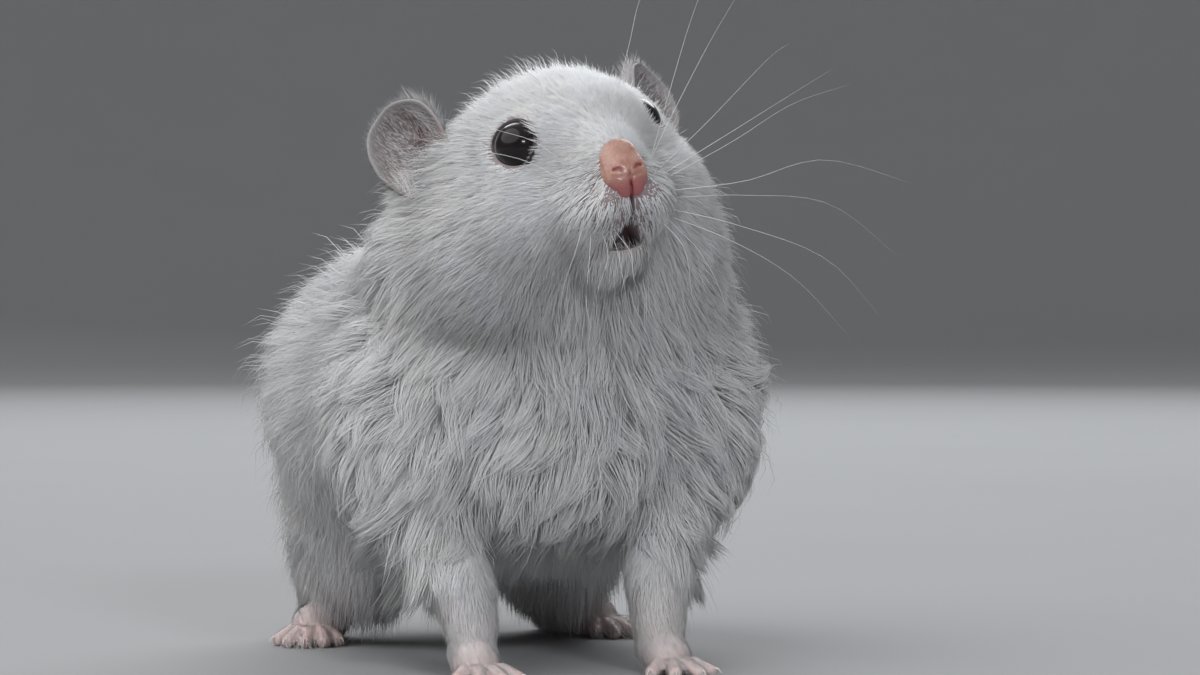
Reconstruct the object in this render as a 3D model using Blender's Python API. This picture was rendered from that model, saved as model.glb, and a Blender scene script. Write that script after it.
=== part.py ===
"""A white dwarf hamster, life size, standing alert with its head raised.

The flesh is built whole from rounded masses, one for each muscle or bone group, melted together
and then parted with thin cuts into head, jaw, neck, trunk and legs. Feet, ears, eyes, nose and
tail are solids of their own, let into the flesh with the same thin gap.

Lengths in the tables are millimetres. +Z is up and the animal faces -Y, so its left is +X.
"""

import math

import bmesh
import bpy
import numpy as np
from mathutils import Euler, Matrix, Vector

MM = 0.001
GAP = 0.3  # between two solids that meet
SIDES = {"right": -1, "left": 1}

# Driving dimensions of the animal
TRUNK_HALF_WIDTH = 25.4
BACK_HEIGHT = 48.0
BELLY_HEIGHT = 7.0
RUMP_REACH = 49.0  # from the forefeet to the hindmost fur
FORE_STANCE = 9.8  # half the distance between the wrists
HEAD_CENTRE = Vector((-0.2, -14.4, 49.2))
HEAD_TURN = Euler((math.radians(-12), math.radians(-11.5), math.radians(5)), "XYZ")

TRUNK_MID = (BACK_HEIGHT + BELLY_HEIGHT) / 2
TRUNK_HALF_HEIGHT = (BACK_HEIGHT - BELLY_HEIGHT) / 2
BODY_BLEND = 1.6  # how softly neighbouring masses run together
HEAD_BLEND = 1.0

# Body masses: (centre, half sizes, turn about X in degrees)
BODY_MASSES = {
    "ribcage": ((1.6, 3, TRUNK_MID + 1.5), (TRUNK_HALF_WIDTH - 2.6, 17, TRUNK_HALF_HEIGHT - 2.5), 0),
    "belly": ((0, 16, TRUNK_MID), (TRUNK_HALF_WIDTH - 0.9, 24, TRUNK_HALF_HEIGHT - 1.8), 6),
    "rump": ((0, RUMP_REACH - 20.5, 24.0), (19.0, 17, 17), 0),
    "chest": ((0.6, -5.5, 29), (15.5, 11, 14), 0),
    "breast": ((0, -8, 22), (9.5, 8, 9), 0),
    "throat": ((0.6, -12.2, 37), (8, 4.5, 8), 0),
}
# Masses on each side of the body, given for the left; the shoulders sit a little to the left
SHOULDER_SHIFT = 0.9
PAIRED_MASSES = {
    "shoulder": ((13.6, -2.0, 25.5), (10, 10.5, 14), 0),
    "ruff": ((11.6, -4.5, 41.5), (7.6, 8, 8.5), 0),
    "haunch": ((11.5, 26, 16.0), (7.8, 14, 12.5), 0),
    "ham": ((11.0, 30, 9.6), (5.4, 8.0, 6.2), 0),
}
NECK = [((0.3, -8.0, 44.5), 13.6), ((1.6, 0, 36.5), 18.6)]
# Head masses, in the head's own frame: left is +X, back is +Y, crown is +Z
HEAD_MASSES = {
    "cranium": ((0, 1.5, 2.3), (10.8, 11.0, 8.6), 0),
    "forehead": ((0, -4.0, 3.8), (7.0, 7.5, 5.7), 0),
    "bridge": ((0, -8.3, 0.2), (4.0, 6.6, 4.4), 14),
    "muzzle": ((0, -8.2, -4.0), (5.2, 6.2, 4.0), 0),
    "chin": ((0, -5.9, -8.8), (3.4, 5.0, 2.8), 8),
}
PAIRED_HEAD_MASSES = {
    "temple": ((6.4, 2.6, 3.4), (5.6, 7.0, 5.6), 0),
    "cheek": ((6.8, -0.6, -3.2), (6.4, 8.2, 6.8), 0),
    "jowl": ((9.4, 3.6, -5.0), (6.2, 8.0, 7.5), 0),
    "whisker_pad": ((3.0, -9.9, -4.8), (2.9, 3.0, 2.7), 0),
}
EYE_CENTRE, EYE_RADIUS = (6.5, -5.8, 3.7), 2.6
NOSE_CENTRE, NOSE_HALF = (0, -13.7, -2.2), (2.2, 1.9, 2.8)
JAW_CENTRE, JAW_HALF = (0, -7.1, -10.7), (3.6, 5.6, 2.8)
MOUTH_CENTRE, MOUTH_HALF = (0, -10.6, -8.2), (1.3, 2.6, 1.0)

# Ears, given for the left in the head's frame
EAR_MIDDLE = (12.8, 6.2, 8.3)
EAR_DROP = {-1: 0.0, 1: 0.8}  # the left ear is held lower
EAR_FACING = 38  # degrees its opening turns out from straight ahead
EAR_LEAN = 24  # degrees its tip leans out
EAR_RADIUS = 4.1
EAR_CUP = 2.0
EAR_WALL = 0.75

# Legs, given for the left: points down the limb, each with the limb's radius there
FORELEG = [
    ((12.5, -5.0, 22.0), 6.0),
    ((11.6, -8.0, 14.0), 4.6),
    ((FORE_STANCE + 0.4, -11.3, 8.6), 3.4),
    ((FORE_STANCE, -12.9, 5.0), 2.8),
]
HIND_SHANK = [((12.4, 30.5, 9.0), 5.0), ((13.0, 32.5, 4.8), 3.6), ((13.4, 33.6, 3.4), 2.8)]
# Feet, given for the left: heel and palm with their radii, then toes as (angle, length)
FOREFOOT = {
    "heel": ((FORE_STANCE, -12.9, 3.0), 2.3),
    "palm": ((FORE_STANCE + 0.2, -15.3, 1.6), 2.3),
    "toes": ((-38, 3.5), (-12, 4.3), (13, 4.3), (38, 3.5)),
    "toe_radius": 0.75,
    "turn": 0,
}
HINDFOOT = {
    "heel": ((13.4, 34.0, 2.4), 2.4),
    "palm": ((16.0, 27.8, 1.7), 2.6),
    "toes": ((-38, 3.3), (-18, 4.4), (0, 4.8), (18, 4.5), (40, 3.4)),
    "toe_radius": 0.85,
    "turn": 23,
}
TAIL = [
    ((0, RUMP_REACH - 9.5, 14.5), 3.0),
    ((0, RUMP_REACH - 5.6, 12.0), 2.5),
    ((0.2, RUMP_REACH - 3.2, 10.2), 1.7),
]

# Fineness of the solids
BODY_VOXEL = 0.6
BODY_TRIANGLES = 2900
FOOT_VOXEL = 0.28
FOOT_TRIANGLES = 270

FUR_WHITE = (0.80, 0.79, 0.78)
SKIN_PINK = (0.78, 0.56, 0.52)
EAR_GREY_PINK = (0.55, 0.48, 0.47)
NOSE_PINK = (0.74, 0.42, 0.38)
EYE_BLACK = (0.012, 0.012, 0.016)


def clear_scene():
    for obj in list(bpy.data.objects):
        bpy.data.objects.remove(obj)


def material(name, colour, roughness):
    made = bpy.data.materials.new(name)
    made.use_nodes = True
    shader = made.node_tree.nodes["Principled BSDF"]
    shader.inputs["Base Color"].default_value = (*colour, 1)
    shader.inputs["Roughness"].default_value = roughness
    shader.inputs["Metallic"].default_value = 0
    return made


def mesh_object(name, bm, finish=None):
    """The bmesh as an object of this name, in metres, shaded smooth."""
    mesh = bpy.data.meshes.new(name)
    bmesh.ops.scale(bm, vec=(MM, MM, MM), verts=bm.verts)
    bm.to_mesh(mesh)
    bm.free()
    mesh.shade_smooth()
    obj = bpy.data.objects.new(name, mesh)
    bpy.context.scene.collection.objects.link(obj)
    if finish:
        mesh.materials.append(finish)
    return obj


def helper(obj):
    """Marks a cutter, which is no part of the animal."""
    obj.hide_render = True
    obj.display_type = "WIRE"
    return obj


def mirrored(point, side):
    return Vector((point[0] * side, point[1], point[2]))


def body_place(point, side):
    """A paired mass's centre, shifted to the left towards the shoulders."""
    forward = min(max((16 - point[1]) / 18, 0), 1)
    return mirrored(point, side) + Vector((SHOULDER_SHIFT * forward, 0, 0))


def add_ellipsoid(bm, centre, half, tilt=0, place=None, grow=0, rings=20):
    """A turned ellipsoid. place is a matrix in millimetres that carries it from its own frame."""
    size = Matrix.Diagonal((*(h + grow for h in half), 1))
    turn = Matrix.Rotation(math.radians(tilt), 4, "X")
    where = (place or Matrix()) @ Matrix.Translation(Vector(centre)) @ turn @ size
    bmesh.ops.create_uvsphere(bm, u_segments=rings * 2, v_segments=rings, radius=1, matrix=where)


def add_limb(bm, stations, grow=0, rings=14, place=None):
    """Balls down a limb with tapered tubes between them: stations are (point, radius)."""
    place = place or Matrix()
    points = [(place @ Vector(p), r + grow) for p, r in stations]
    for centre, radius in points:
        ball = Matrix.Translation(centre)
        bmesh.ops.create_uvsphere(bm, u_segments=rings * 2, v_segments=rings, radius=radius, matrix=ball)
    for (a, ra), (b, rb) in zip(points, points[1:]):
        along = b - a
        turn = along.to_track_quat("Z", "Y").to_matrix().to_4x4()
        tube = Matrix.Translation((a + b) / 2) @ turn
        bmesh.ops.create_cone(
            bm, cap_ends=True, segments=rings * 2, radius1=ra, radius2=rb, depth=along.length, matrix=tube
        )


def head_frame(centre=HEAD_CENTRE):
    """Carries the head's own frame, in millimetres, to its place on the neck."""
    return Matrix.Translation(centre) @ HEAD_TURN.to_matrix().to_4x4()


def add_modifier(obj, kind, **settings):
    made = obj.modifiers.new(kind.title(), kind)
    for key, value in settings.items():
        setattr(made, key, value)
    return made


def turned_matrix(tilt, place):
    """Rows of the axes of a mass tilted about X in its own frame."""
    turn = (place @ Matrix.Rotation(math.radians(tilt), 4, "X")).to_3x3()
    return np.array(turn)


def ellipsoid_distance(points, centre, half, tilt=0, place=Matrix()):
    """About how far outside a turned ellipsoid each point lies."""
    local = (points - np.array(place @ Vector(centre))) @ turned_matrix(tilt, place)
    half = np.array(half)
    near = np.linalg.norm(local / half, axis=1)
    steep = np.linalg.norm(local / half**2, axis=1)
    return near * (near - 1) / np.maximum(steep, 1e-9)


def limb_distance(points, stations):
    """How far outside a tapering limb each point lies."""
    best = np.full(len(points), np.inf)
    for (a, ra), (b, rb) in zip(stations, stations[1:]):
        a, b = np.array(a, float), np.array(b, float)
        along = b - a
        part = np.clip((points - a) @ along / (along @ along), 0, 1)
        away = np.linalg.norm(points - a - part[:, None] * along, axis=1)
        best = np.minimum(best, away - (ra + part * (rb - ra)))
    return best


def soft_union(distances, blend):
    """The distances to several masses as one distance to their softly blended union."""
    distances = np.array(distances)
    least = distances.min(axis=0)
    return least - blend * np.log(np.exp((least - distances) / blend).sum(axis=0))


def body_distance(points):
    masses = [ellipsoid_distance(points, *mass) for mass in BODY_MASSES.values()]
    masses.append(limb_distance(points, NECK))
    for side in SIDES.values():
        for centre, half, tilt in PAIRED_MASSES.values():
            masses.append(ellipsoid_distance(points, body_place(centre, side), half, tilt))
    limbs = [soft_union(masses, BODY_BLEND)]
    for side in SIDES.values():
        for limb in (FORELEG, HIND_SHANK):
            limbs.append(limb_distance(points, [(mirrored(p, side), r) for p, r in limb]))
    return soft_union(limbs, HEAD_BLEND)


def head_distance(points):
    place = head_frame()
    masses = [ellipsoid_distance(points, *mass, place) for mass in HEAD_MASSES.values()]
    for side in SIDES.values():
        for centre, half, tilt in PAIRED_HEAD_MASSES.values():
            masses.append(ellipsoid_distance(points, mirrored(centre, side), half, tilt, place))
    return soft_union(masses, HEAD_BLEND)


def flesh_distance(points):
    return soft_union([body_distance(points), head_distance(points)], BODY_BLEND)


def settle(mesh, distance, rounds=5):
    """Moves the mesh's corners, in metres, onto the surface where the distance is nought."""
    corners = np.empty(len(mesh.vertices) * 3)
    mesh.vertices.foreach_get("co", corners)
    points = corners.reshape(-1, 3) / MM
    step = 0.05
    for _ in range(rounds):
        here = distance(points)
        slope = np.stack([(distance(points + step * axis) - here) / step for axis in np.eye(3)], axis=1)
        reach = np.clip(here / np.maximum((slope**2).sum(axis=1), 0.25), -2, 2)
        points -= slope * reach[:, None]
    mesh.vertices.foreach_set("co", (points * MM).ravel())
    mesh.update()


def baked(obj):
    """Puts the object's modifiers into its mesh."""
    depsgraph = bpy.context.evaluated_depsgraph_get()
    obj.data = bpy.data.meshes.new_from_object(obj.evaluated_get(depsgraph))
    obj.modifiers.clear()
    return obj.data


def melted(obj, distance, voxel, smoothing, triangles):
    """The object's overlapping masses as one smooth closed surface of about that many triangles."""
    add_modifier(obj, "REMESH", mode="VOXEL", voxel_size=voxel * MM, adaptivity=0)
    add_modifier(obj, "SMOOTH", factor=0.5, iterations=6)
    if distance:
        settle(baked(obj), distance)
    add_modifier(obj, "SMOOTH", factor=0.5, iterations=smoothing)
    fine = baked(obj)
    add_modifier(obj, "TRIANGULATE")
    add_modifier(obj, "DECIMATE", ratio=triangles / (2 * len(fine.polygons)))
    baked(obj)
    obj.data.shade_smooth()
    return obj


def boolean(obj, cutter, operation="DIFFERENCE"):
    add_modifier(obj, "BOOLEAN", operation=operation, object=cutter, solver="EXACT")


def slab(name, place, normal, point, near, far):
    """A wide cutting slab across the normal, reaching from near to far along it past the point."""
    turn = Vector(normal).to_track_quat("Z", "Y").to_matrix().to_4x4()
    where = place @ Matrix.Translation(Vector(point)) @ turn @ Matrix.Translation((0, 0, (near + far) / 2))
    bm = bmesh.new()
    bmesh.ops.create_cube(bm, size=1, matrix=where @ Matrix.Diagonal((120, 120, far - near, 1)))
    return helper(mesh_object(name, bm))


def ellipsoid(name, centre, half, grow=0.0, place=Matrix(), finish=None, rings=8):
    bm = bmesh.new()
    add_ellipsoid(bm, centre, half, 0, place, grow, rings)
    made = mesh_object(name, bm, finish)
    return made if finish else helper(made)


def flesh():
    """Head, neck, trunk and legs as one mass, without feet, ears and tail."""
    bm = bmesh.new()
    for centre, half, tilt in BODY_MASSES.values():
        add_ellipsoid(bm, centre, half, tilt, grow=BODY_BLEND)
    add_limb(bm, NECK, BODY_BLEND)
    for side in SIDES.values():
        for centre, half, tilt in PAIRED_MASSES.values():
            add_ellipsoid(bm, body_place(centre, side), half, tilt, grow=BODY_BLEND)
        for limb in (FORELEG, HIND_SHANK):
            add_limb(bm, [(mirrored(p, side), r) for p, r in limb])
    head = head_frame()
    for centre, half, tilt in HEAD_MASSES.values():
        add_ellipsoid(bm, centre, half, tilt, head, HEAD_BLEND)
    for side in SIDES.values():
        for centre, half, tilt in PAIRED_HEAD_MASSES.values():
            add_ellipsoid(bm, mirrored(centre, side), half, tilt, head, HEAD_BLEND)
    return melted(mesh_object("flesh", bm), flesh_distance, BODY_VOXEL, 3, BODY_TRIANGLES)


def foot_limbs(foot, side):
    """Stations of the sole and of each toe, which fan out ahead of the palm."""
    (heel, heel_radius), (palm, palm_radius) = foot["heel"], foot["palm"]
    limbs = [[(mirrored(heel, side), heel_radius), (mirrored(palm, side), palm_radius)]]
    radius = foot["toe_radius"]
    for angle, length in foot["toes"]:
        way = math.radians(angle + foot["turn"])
        out = Vector((math.sin(way), -math.cos(way), 0))
        root = Vector(palm) + out * palm_radius * 0.7 - Vector((0, 0, palm[2] - radius * 1.25))
        knuckle = root + out * length * 0.45 + Vector((0, 0, radius * 0.35))
        tip = root + out * length - Vector((0, 0, radius * 0.5))
        toe = [(root, radius), (knuckle, radius), (tip, radius * 0.92)]
        limbs.append([(mirrored(p, side), r) for p, r in toe])
    return limbs


def foot_solid(name, foot, side, finish):
    limbs = foot_limbs(foot, side)
    bm = bmesh.new()
    for limb in limbs:
        add_limb(bm, limb, rings=8)
    made = melted(mesh_object(name, bm), None, FOOT_VOXEL, 2, FOOT_TRIANGLES)
    made.data.materials.append(finish)
    return made


def foot_room(name, foot, side):
    """The room that heel and palm take out of the leg, gap included: a ball drawn out into a sole."""
    (heel, heel_radius), (palm, palm_radius) = foot["heel"], foot["palm"]
    heel, palm = mirrored(heel, side), mirrored(palm, side)
    turn = (heel - palm).to_track_quat("Z", "Y")
    bm = bmesh.new()
    bmesh.ops.create_uvsphere(bm, u_segments=16, v_segments=9, radius=1)
    for corner in bm.verts:
        centre, radius = (heel, heel_radius) if corner.co.z > 0 else (palm, palm_radius)
        corner.co = centre + turn @ corner.co * (radius + GAP + 0.15)
    return helper(mesh_object(name, bm))


def ear_sheet(side, grow=0.0, rings=4, spokes=20):
    """The ear as a cupped sheet, wide above and drawn in to a stalk below."""
    place = (
        head_frame()
        @ Matrix.Translation(mirrored(EAR_MIDDLE, side) - Vector((0, 0, EAR_DROP[side])))
        @ Matrix.Rotation(math.radians(EAR_FACING * side), 4, "Z")
        @ Matrix.Rotation(math.radians(EAR_LEAN * side), 4, "Y")
    )
    bm = bmesh.new()
    hub = bm.verts.new(place @ Vector((0, EAR_CUP * 0.5, 0)))
    loops = []
    for ring in range(1, rings + 1):
        reach = ring / rings
        loop = []
        for spoke in range(spokes):
            angle = math.tau * spoke / spokes
            across, up = math.cos(angle), math.sin(angle)
            low = max(0.0, -up)
            radius = (EAR_RADIUS + grow) * reach
            x = radius * across * (1 - 0.38 * low**2)
            z = radius * up * (1 + 0.6 * low)
            curl = 0.5 - reach**2 * (0.75 + 0.45 * across**2)
            loop.append(bm.verts.new(place @ Vector((x, EAR_CUP * curl, z))))
        loops.append(loop)
    for spoke in range(spokes):
        after = (spoke + 1) % spokes
        bm.faces.new((hub, loops[0][spoke], loops[0][after]))
        for inner, outer in zip(loops, loops[1:]):
            bm.faces.new((inner[spoke], outer[spoke], outer[after], inner[after]))
    bmesh.ops.recalc_face_normals(bm, faces=bm.faces)
    return bm


def ear_solid(name, side, grow=0.0, finish=None):
    made = mesh_object(name, ear_sheet(side, grow), finish)
    add_modifier(made, "SOLIDIFY", thickness=(EAR_WALL + 2 * grow) * MM, offset=0)
    return made if finish else helper(made)


def node(name, whole, finish, *cuts):
    """A piece of the whole flesh: cuts are (operation, cutter)."""
    made = bpy.data.objects.new(name, whole.data.copy())
    bpy.context.scene.collection.objects.link(made)
    made.data.materials.append(finish)
    for operation, cutter in cuts:
        boolean(made, cutter, operation)
    return made


def centre_on_origin():
    """Moves everything so that the origin lies on the floor under the middle of the animal."""
    depsgraph = bpy.context.evaluated_depsgraph_get()
    solids = [o.evaluated_get(depsgraph) for o in bpy.data.objects if not o.hide_render]
    corners = np.array([v.co for solid in solids for v in solid.data.vertices])
    middle = (corners.min(axis=0) + corners.max(axis=0)) / 2
    shift = Matrix.Translation((-round(middle[0], 4), -round(middle[1], 4), 0))
    for obj in bpy.data.objects:
        obj.data.transform(shift)


def main():
    clear_scene()
    fur = {
        part: material(f"{part}_coat", FUR_WHITE, 0.85)
        for part in ("head", "jaw", "neck", "trunk", "foreleg", "hindleg", "tail")
    }
    whole = helper(flesh())
    head = head_frame()
    trim = GAP / 2
    behind_head = slab("behind_head", head, (0, 0.906, -0.42), (0, 9, 4), -trim, 90)
    before_neck = slab("before_neck", head, (0, 0.906, -0.42), (0, 9, 4), -90, trim)
    below_neck = slab("below_neck", Matrix(), (0, 0.45, -0.89), (0, -6, 38), -trim, 90)
    above_trunk = slab("above_trunk", Matrix(), (0, 0.45, -0.89), (0, -6, 38), -90, trim)
    floor_block = slab("below_floor", Matrix(), (0, 0, 1), (0, 0, 0), -20, 0)

    jaw_room = ellipsoid("jaw_room", JAW_CENTRE, JAW_HALF, trim, head)
    jaw_reach = ellipsoid("jaw_reach", JAW_CENTRE, JAW_HALF, -trim, head)
    mouth_room = ellipsoid("mouth_room", MOUTH_CENTRE, MOUTH_HALF, 0, head)
    nose_room = ellipsoid("nose_room", NOSE_CENTRE, NOSE_HALF, GAP, head)
    head_cuts = [("DIFFERENCE", cutter) for cutter in (behind_head, jaw_room, mouth_room, nose_room)]
    trunk_cuts = [("DIFFERENCE", above_trunk)]
    neck_cuts = [("DIFFERENCE", before_neck), ("DIFFERENCE", below_neck)]

    ellipsoid("nose", NOSE_CENTRE, NOSE_HALF, 0, head, material("nose_skin", NOSE_PINK, 0.45))
    eye_black = material("eye_gloss", EYE_BLACK, 0.06)
    ear_skin = material("ear_skin", EAR_GREY_PINK, 0.7)
    foot_skin = material("foot_skin", SKIN_PINK, 0.6)
    for name, side in SIDES.items():
        eye = mirrored(EYE_CENTRE, side)
        ellipsoid(f"eye_{name}", eye, [EYE_RADIUS] * 3, 0, head, eye_black)
        socket = ellipsoid(f"socket_{name}", eye, [EYE_RADIUS] * 3, GAP, head)
        ear_solid(f"ear_{name}", side, 0, ear_skin)
        ear_room = ear_solid(f"ear_room_{name}", side, GAP + 0.1)
        head_cuts += [("DIFFERENCE", socket), ("DIFFERENCE", ear_room)]
        neck_cuts.append(("DIFFERENCE", ear_room))

        leg_room, leg_reach = (
            ellipsoid(f"foreleg_{kind}_{name}", mirrored((10.4, -10, 6), side), (8, 8.5, 12.5), grow, rings=8)
            for kind, grow in (("room", trim), ("reach", -trim))
        )
        haunch_room, haunch_reach = (
            ellipsoid(f"hindleg_{kind}_{name}", mirrored((24, 30, 10), side), (15, 16, 20), grow, rings=8)
            for kind, grow in (("room", trim), ("reach", -trim))
        )
        fore_room = foot_room(f"forefoot_room_{name}", FOREFOOT, side)
        hind_room = foot_room(f"hindfoot_room_{name}", HINDFOOT, side)
        trunk_cuts += [("DIFFERENCE", leg_room), ("DIFFERENCE", haunch_room), ("DIFFERENCE", hind_room)]
        node(f"foreleg_{name}", whole, fur["foreleg"], ("INTERSECT", leg_reach), ("DIFFERENCE", fore_room))
        node(f"hindleg_{name}", whole, fur["hindleg"], ("INTERSECT", haunch_reach), ("DIFFERENCE", hind_room))
        for part, foot in (("forefoot", FOREFOOT), ("hindfoot", HINDFOOT)):
            boolean(foot_solid(f"{part}_{name}", foot, side, foot_skin), floor_block)

    node("head", whole, fur["head"], *head_cuts)
    node("lower_jaw", whole, fur["jaw"], ("INTERSECT", jaw_reach), ("DIFFERENCE", mouth_room))
    node("neck", whole, fur["neck"], *neck_cuts)
    bm = bmesh.new()
    add_limb(bm, TAIL, GAP)
    tail_room = melted(helper(mesh_object("tail_room", bm)), None, 0.4, 2, 100)
    node("trunk", whole, fur["trunk"], *trunk_cuts, ("DIFFERENCE", tail_room))
    bm = bmesh.new()
    add_limb(bm, TAIL)
    tail = melted(mesh_object("tail", bm), None, 0.4, 2, 160)
    tail.data.materials.append(fur["tail"])
    bpy.data.objects.remove(whole)
    centre_on_origin()


main()
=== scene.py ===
import math

import bmesh
import bpy
import numpy as np
from mathutils import Euler, Matrix, Vector, kdtree


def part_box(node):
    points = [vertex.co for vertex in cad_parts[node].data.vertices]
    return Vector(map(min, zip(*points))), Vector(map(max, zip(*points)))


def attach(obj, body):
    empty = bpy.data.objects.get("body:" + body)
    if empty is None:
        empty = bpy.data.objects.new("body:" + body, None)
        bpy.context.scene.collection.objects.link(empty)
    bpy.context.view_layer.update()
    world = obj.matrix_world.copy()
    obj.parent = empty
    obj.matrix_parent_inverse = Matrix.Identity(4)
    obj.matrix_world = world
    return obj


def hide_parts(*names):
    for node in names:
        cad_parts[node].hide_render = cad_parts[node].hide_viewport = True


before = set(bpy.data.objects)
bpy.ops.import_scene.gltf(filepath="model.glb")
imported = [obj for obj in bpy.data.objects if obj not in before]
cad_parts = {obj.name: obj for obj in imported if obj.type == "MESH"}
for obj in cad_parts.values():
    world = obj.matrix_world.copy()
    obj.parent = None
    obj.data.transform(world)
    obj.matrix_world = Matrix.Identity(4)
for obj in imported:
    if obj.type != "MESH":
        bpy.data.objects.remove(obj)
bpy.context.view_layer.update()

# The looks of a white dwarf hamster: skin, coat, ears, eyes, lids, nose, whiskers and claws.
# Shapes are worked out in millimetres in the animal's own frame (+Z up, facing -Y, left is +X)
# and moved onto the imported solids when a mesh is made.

MM = 0.001
SIDES = {"right": -1, "left": 1}
BODY = "root"
PIECE_TRIANGLES = 190000  # the most in one piece of coat
rng = np.random.default_rng(1207)

# ---------------------------------------------------------------- masses of the body
TRUNK_HALF_WIDTH, TRUNK_MID, TRUNK_HALF_HEIGHT = 25.4, 27.5, 20.5
RUMP_REACH, FORE_STANCE, SHOULDER_SHIFT = 49.0, 9.8, 0.9
HEAD_CENTRE = np.array((-0.2, -14.4, 49.2))
HEAD_TURN = Euler((math.radians(-12), math.radians(-11.5), math.radians(5)), "XYZ")
HEAD_AXES = np.array(HEAD_TURN.to_matrix())
BODY_BLEND, HEAD_BLEND = 1.6, 1.0

# (centre, half sizes, turn about X in degrees)
BODY_MASSES = [
    ((1.6, 3, TRUNK_MID + 1.5), (TRUNK_HALF_WIDTH - 2.6, 17, TRUNK_HALF_HEIGHT - 2.5), 0),  # ribcage
    ((0, 16, TRUNK_MID), (TRUNK_HALF_WIDTH - 0.9, 24, TRUNK_HALF_HEIGHT - 1.8), 6),  # belly
    ((0, RUMP_REACH - 20.5, 24.0), (19.0, 17, 17), 0),  # rump
    ((0.6, -5.5, 29), (15.5, 11, 14), 0),  # chest
    ((0, -8, 22), (9.5, 8, 9), 0),  # breast
    ((0.6, -12.2, 37), (8, 4.5, 8), 0),  # throat
]
PAIRED_MASSES = [
    ((13.6, -2.0, 25.5), (10, 10.5, 14), 0),  # shoulder
    ((11.6, -4.5, 41.5), (7.6, 8, 8.5), 0),  # ruff
    ((11.5, 26, 16.0), (7.8, 14, 12.5), 0),  # haunch
    ((11.0, 30, 9.6), (5.4, 8.0, 6.2), 0),  # ham
]
NECK = [((0.3, -8.0, 44.5), 13.6), ((1.6, 0, 36.5), 18.6)]
HEAD_MASSES = [
    ((0, 1.5, 2.3), (10.8, 11.0, 8.6), 0),  # cranium
    ((0, -4.0, 3.8), (7.0, 7.5, 5.7), 0),  # forehead
    ((0, -8.3, 0.2), (4.0, 6.6, 4.4), 14),  # bridge
    ((0, -8.2, -4.0), (5.2, 6.2, 4.0), 0),  # muzzle
    ((0, -5.9, -8.8), (3.4, 5.0, 2.8), 8),  # chin
]
PAIRED_HEAD_MASSES = [
    ((6.2, 2.6, 3.0), (5.5, 7.0, 5.2), 0),  # temple
    ((6.8, -0.6, -3.2), (6.4, 8.2, 6.8), 0),  # cheek
    ((9.4, 3.6, -5.0), (6.2, 8.0, 7.5), 0),  # jowl
    ((3.0, -9.9, -4.8), (2.9, 3.0, 2.7), 0),  # whisker pad
]
EYE_CENTRES, EYE_RADIUS, CORNEA_RISE = {-1: (6.4, -6.1, 3.3), 1: (6.5, -4.55, 3.65)}, 2.65, 0.12
FORELEG = [
    ((12.5, -5.0, 22.0), 6.0),
    ((11.6, -8.0, 14.0), 4.6),
    ((FORE_STANCE + 0.4, -11.3, 8.6), 3.4),
    ((FORE_STANCE, -12.9, 5.0), 2.8),
]
HIND_SHANK = [((12.4, 30.5, 9.0), 5.0), ((13.0, 32.5, 4.8), 3.6), ((13.4, 33.6, 3.4), 2.8)]
FOREFOOT = {
    "heel": ((FORE_STANCE, -12.9, 3.0), 2.3),
    "palm": ((FORE_STANCE + 0.2, -15.3, 1.6), 2.3),
    "toes": ((-38, 3.5), (-12, 4.3), (13, 4.3), (38, 3.5)),
    "toe_radius": 0.75,
    "turn": 0,
}
HINDFOOT = {
    "heel": ((13.4, 34.0, 2.4), 2.4),
    "palm": ((16.0, 27.8, 1.7), 2.6),
    "toes": ((-38, 3.3), (-18, 4.4), (0, 4.8), (18, 4.5), (40, 3.4)),
    "toe_radius": 0.85,
    "turn": 23,
}
TAIL = [
    ((0, RUMP_REACH - 9.5, 14.5), 3.0),
    ((0, RUMP_REACH - 6.4, 12.6), 2.5),
    ((0.2, RUMP_REACH - 4.8, 11.4), 1.9),
]
TAIL_COAT = 1.1  # depth of the tail's coat

# ---------------------------------------------------------------- the lie of the coat
# place: (point, way the hair runs, hair length, depth of the coat)
MIDLINE_COAT = {
    "withers": ((0, 5, 49), (0, 1, -0.15), 4.6, 2.6),
    "back": ((0, 25, 46), (0, 1, -0.5), 5.0, 2.8),
    "rump": ((0, 42, 32), (0, 0.35, -1), 5.0, 2.8),
    "seat": ((0, 45, 20), (0, 0, -1), 4.6, 2.4),
    "nape": ((0, -4, 54), (0, 1, -0.2), 3.8, 2.0),
    "breast": ((0, -17.5, 32), (0, 0, -1), 6.5, 3.0),
    "breast low": ((0, -15, 18), (0, 0.15, -1), 6.0, 2.8),
    "throat": ((0, -16, 40), (0, -0.1, -1), 4.6, 2.0),
    "parting right": ((-2, -17.5, 25), (-0.65, 0.1, -1), 6.2, 3.0),
    "parting left": ((4.4, -17.5, 25), (0.55, 0.1, -1), 6.8, 3.0),
    "belly front": ((0, 5, 7.5), (0, 0.8, -0.6), 4.6, 2.2),
    "belly back": ((0, 25, 8), (0, 1, -0.3), 4.6, 2.2),
    "tail": ((0, 44, 12), (0, 0.6, -1), 3.2, 1.4),
}
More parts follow.
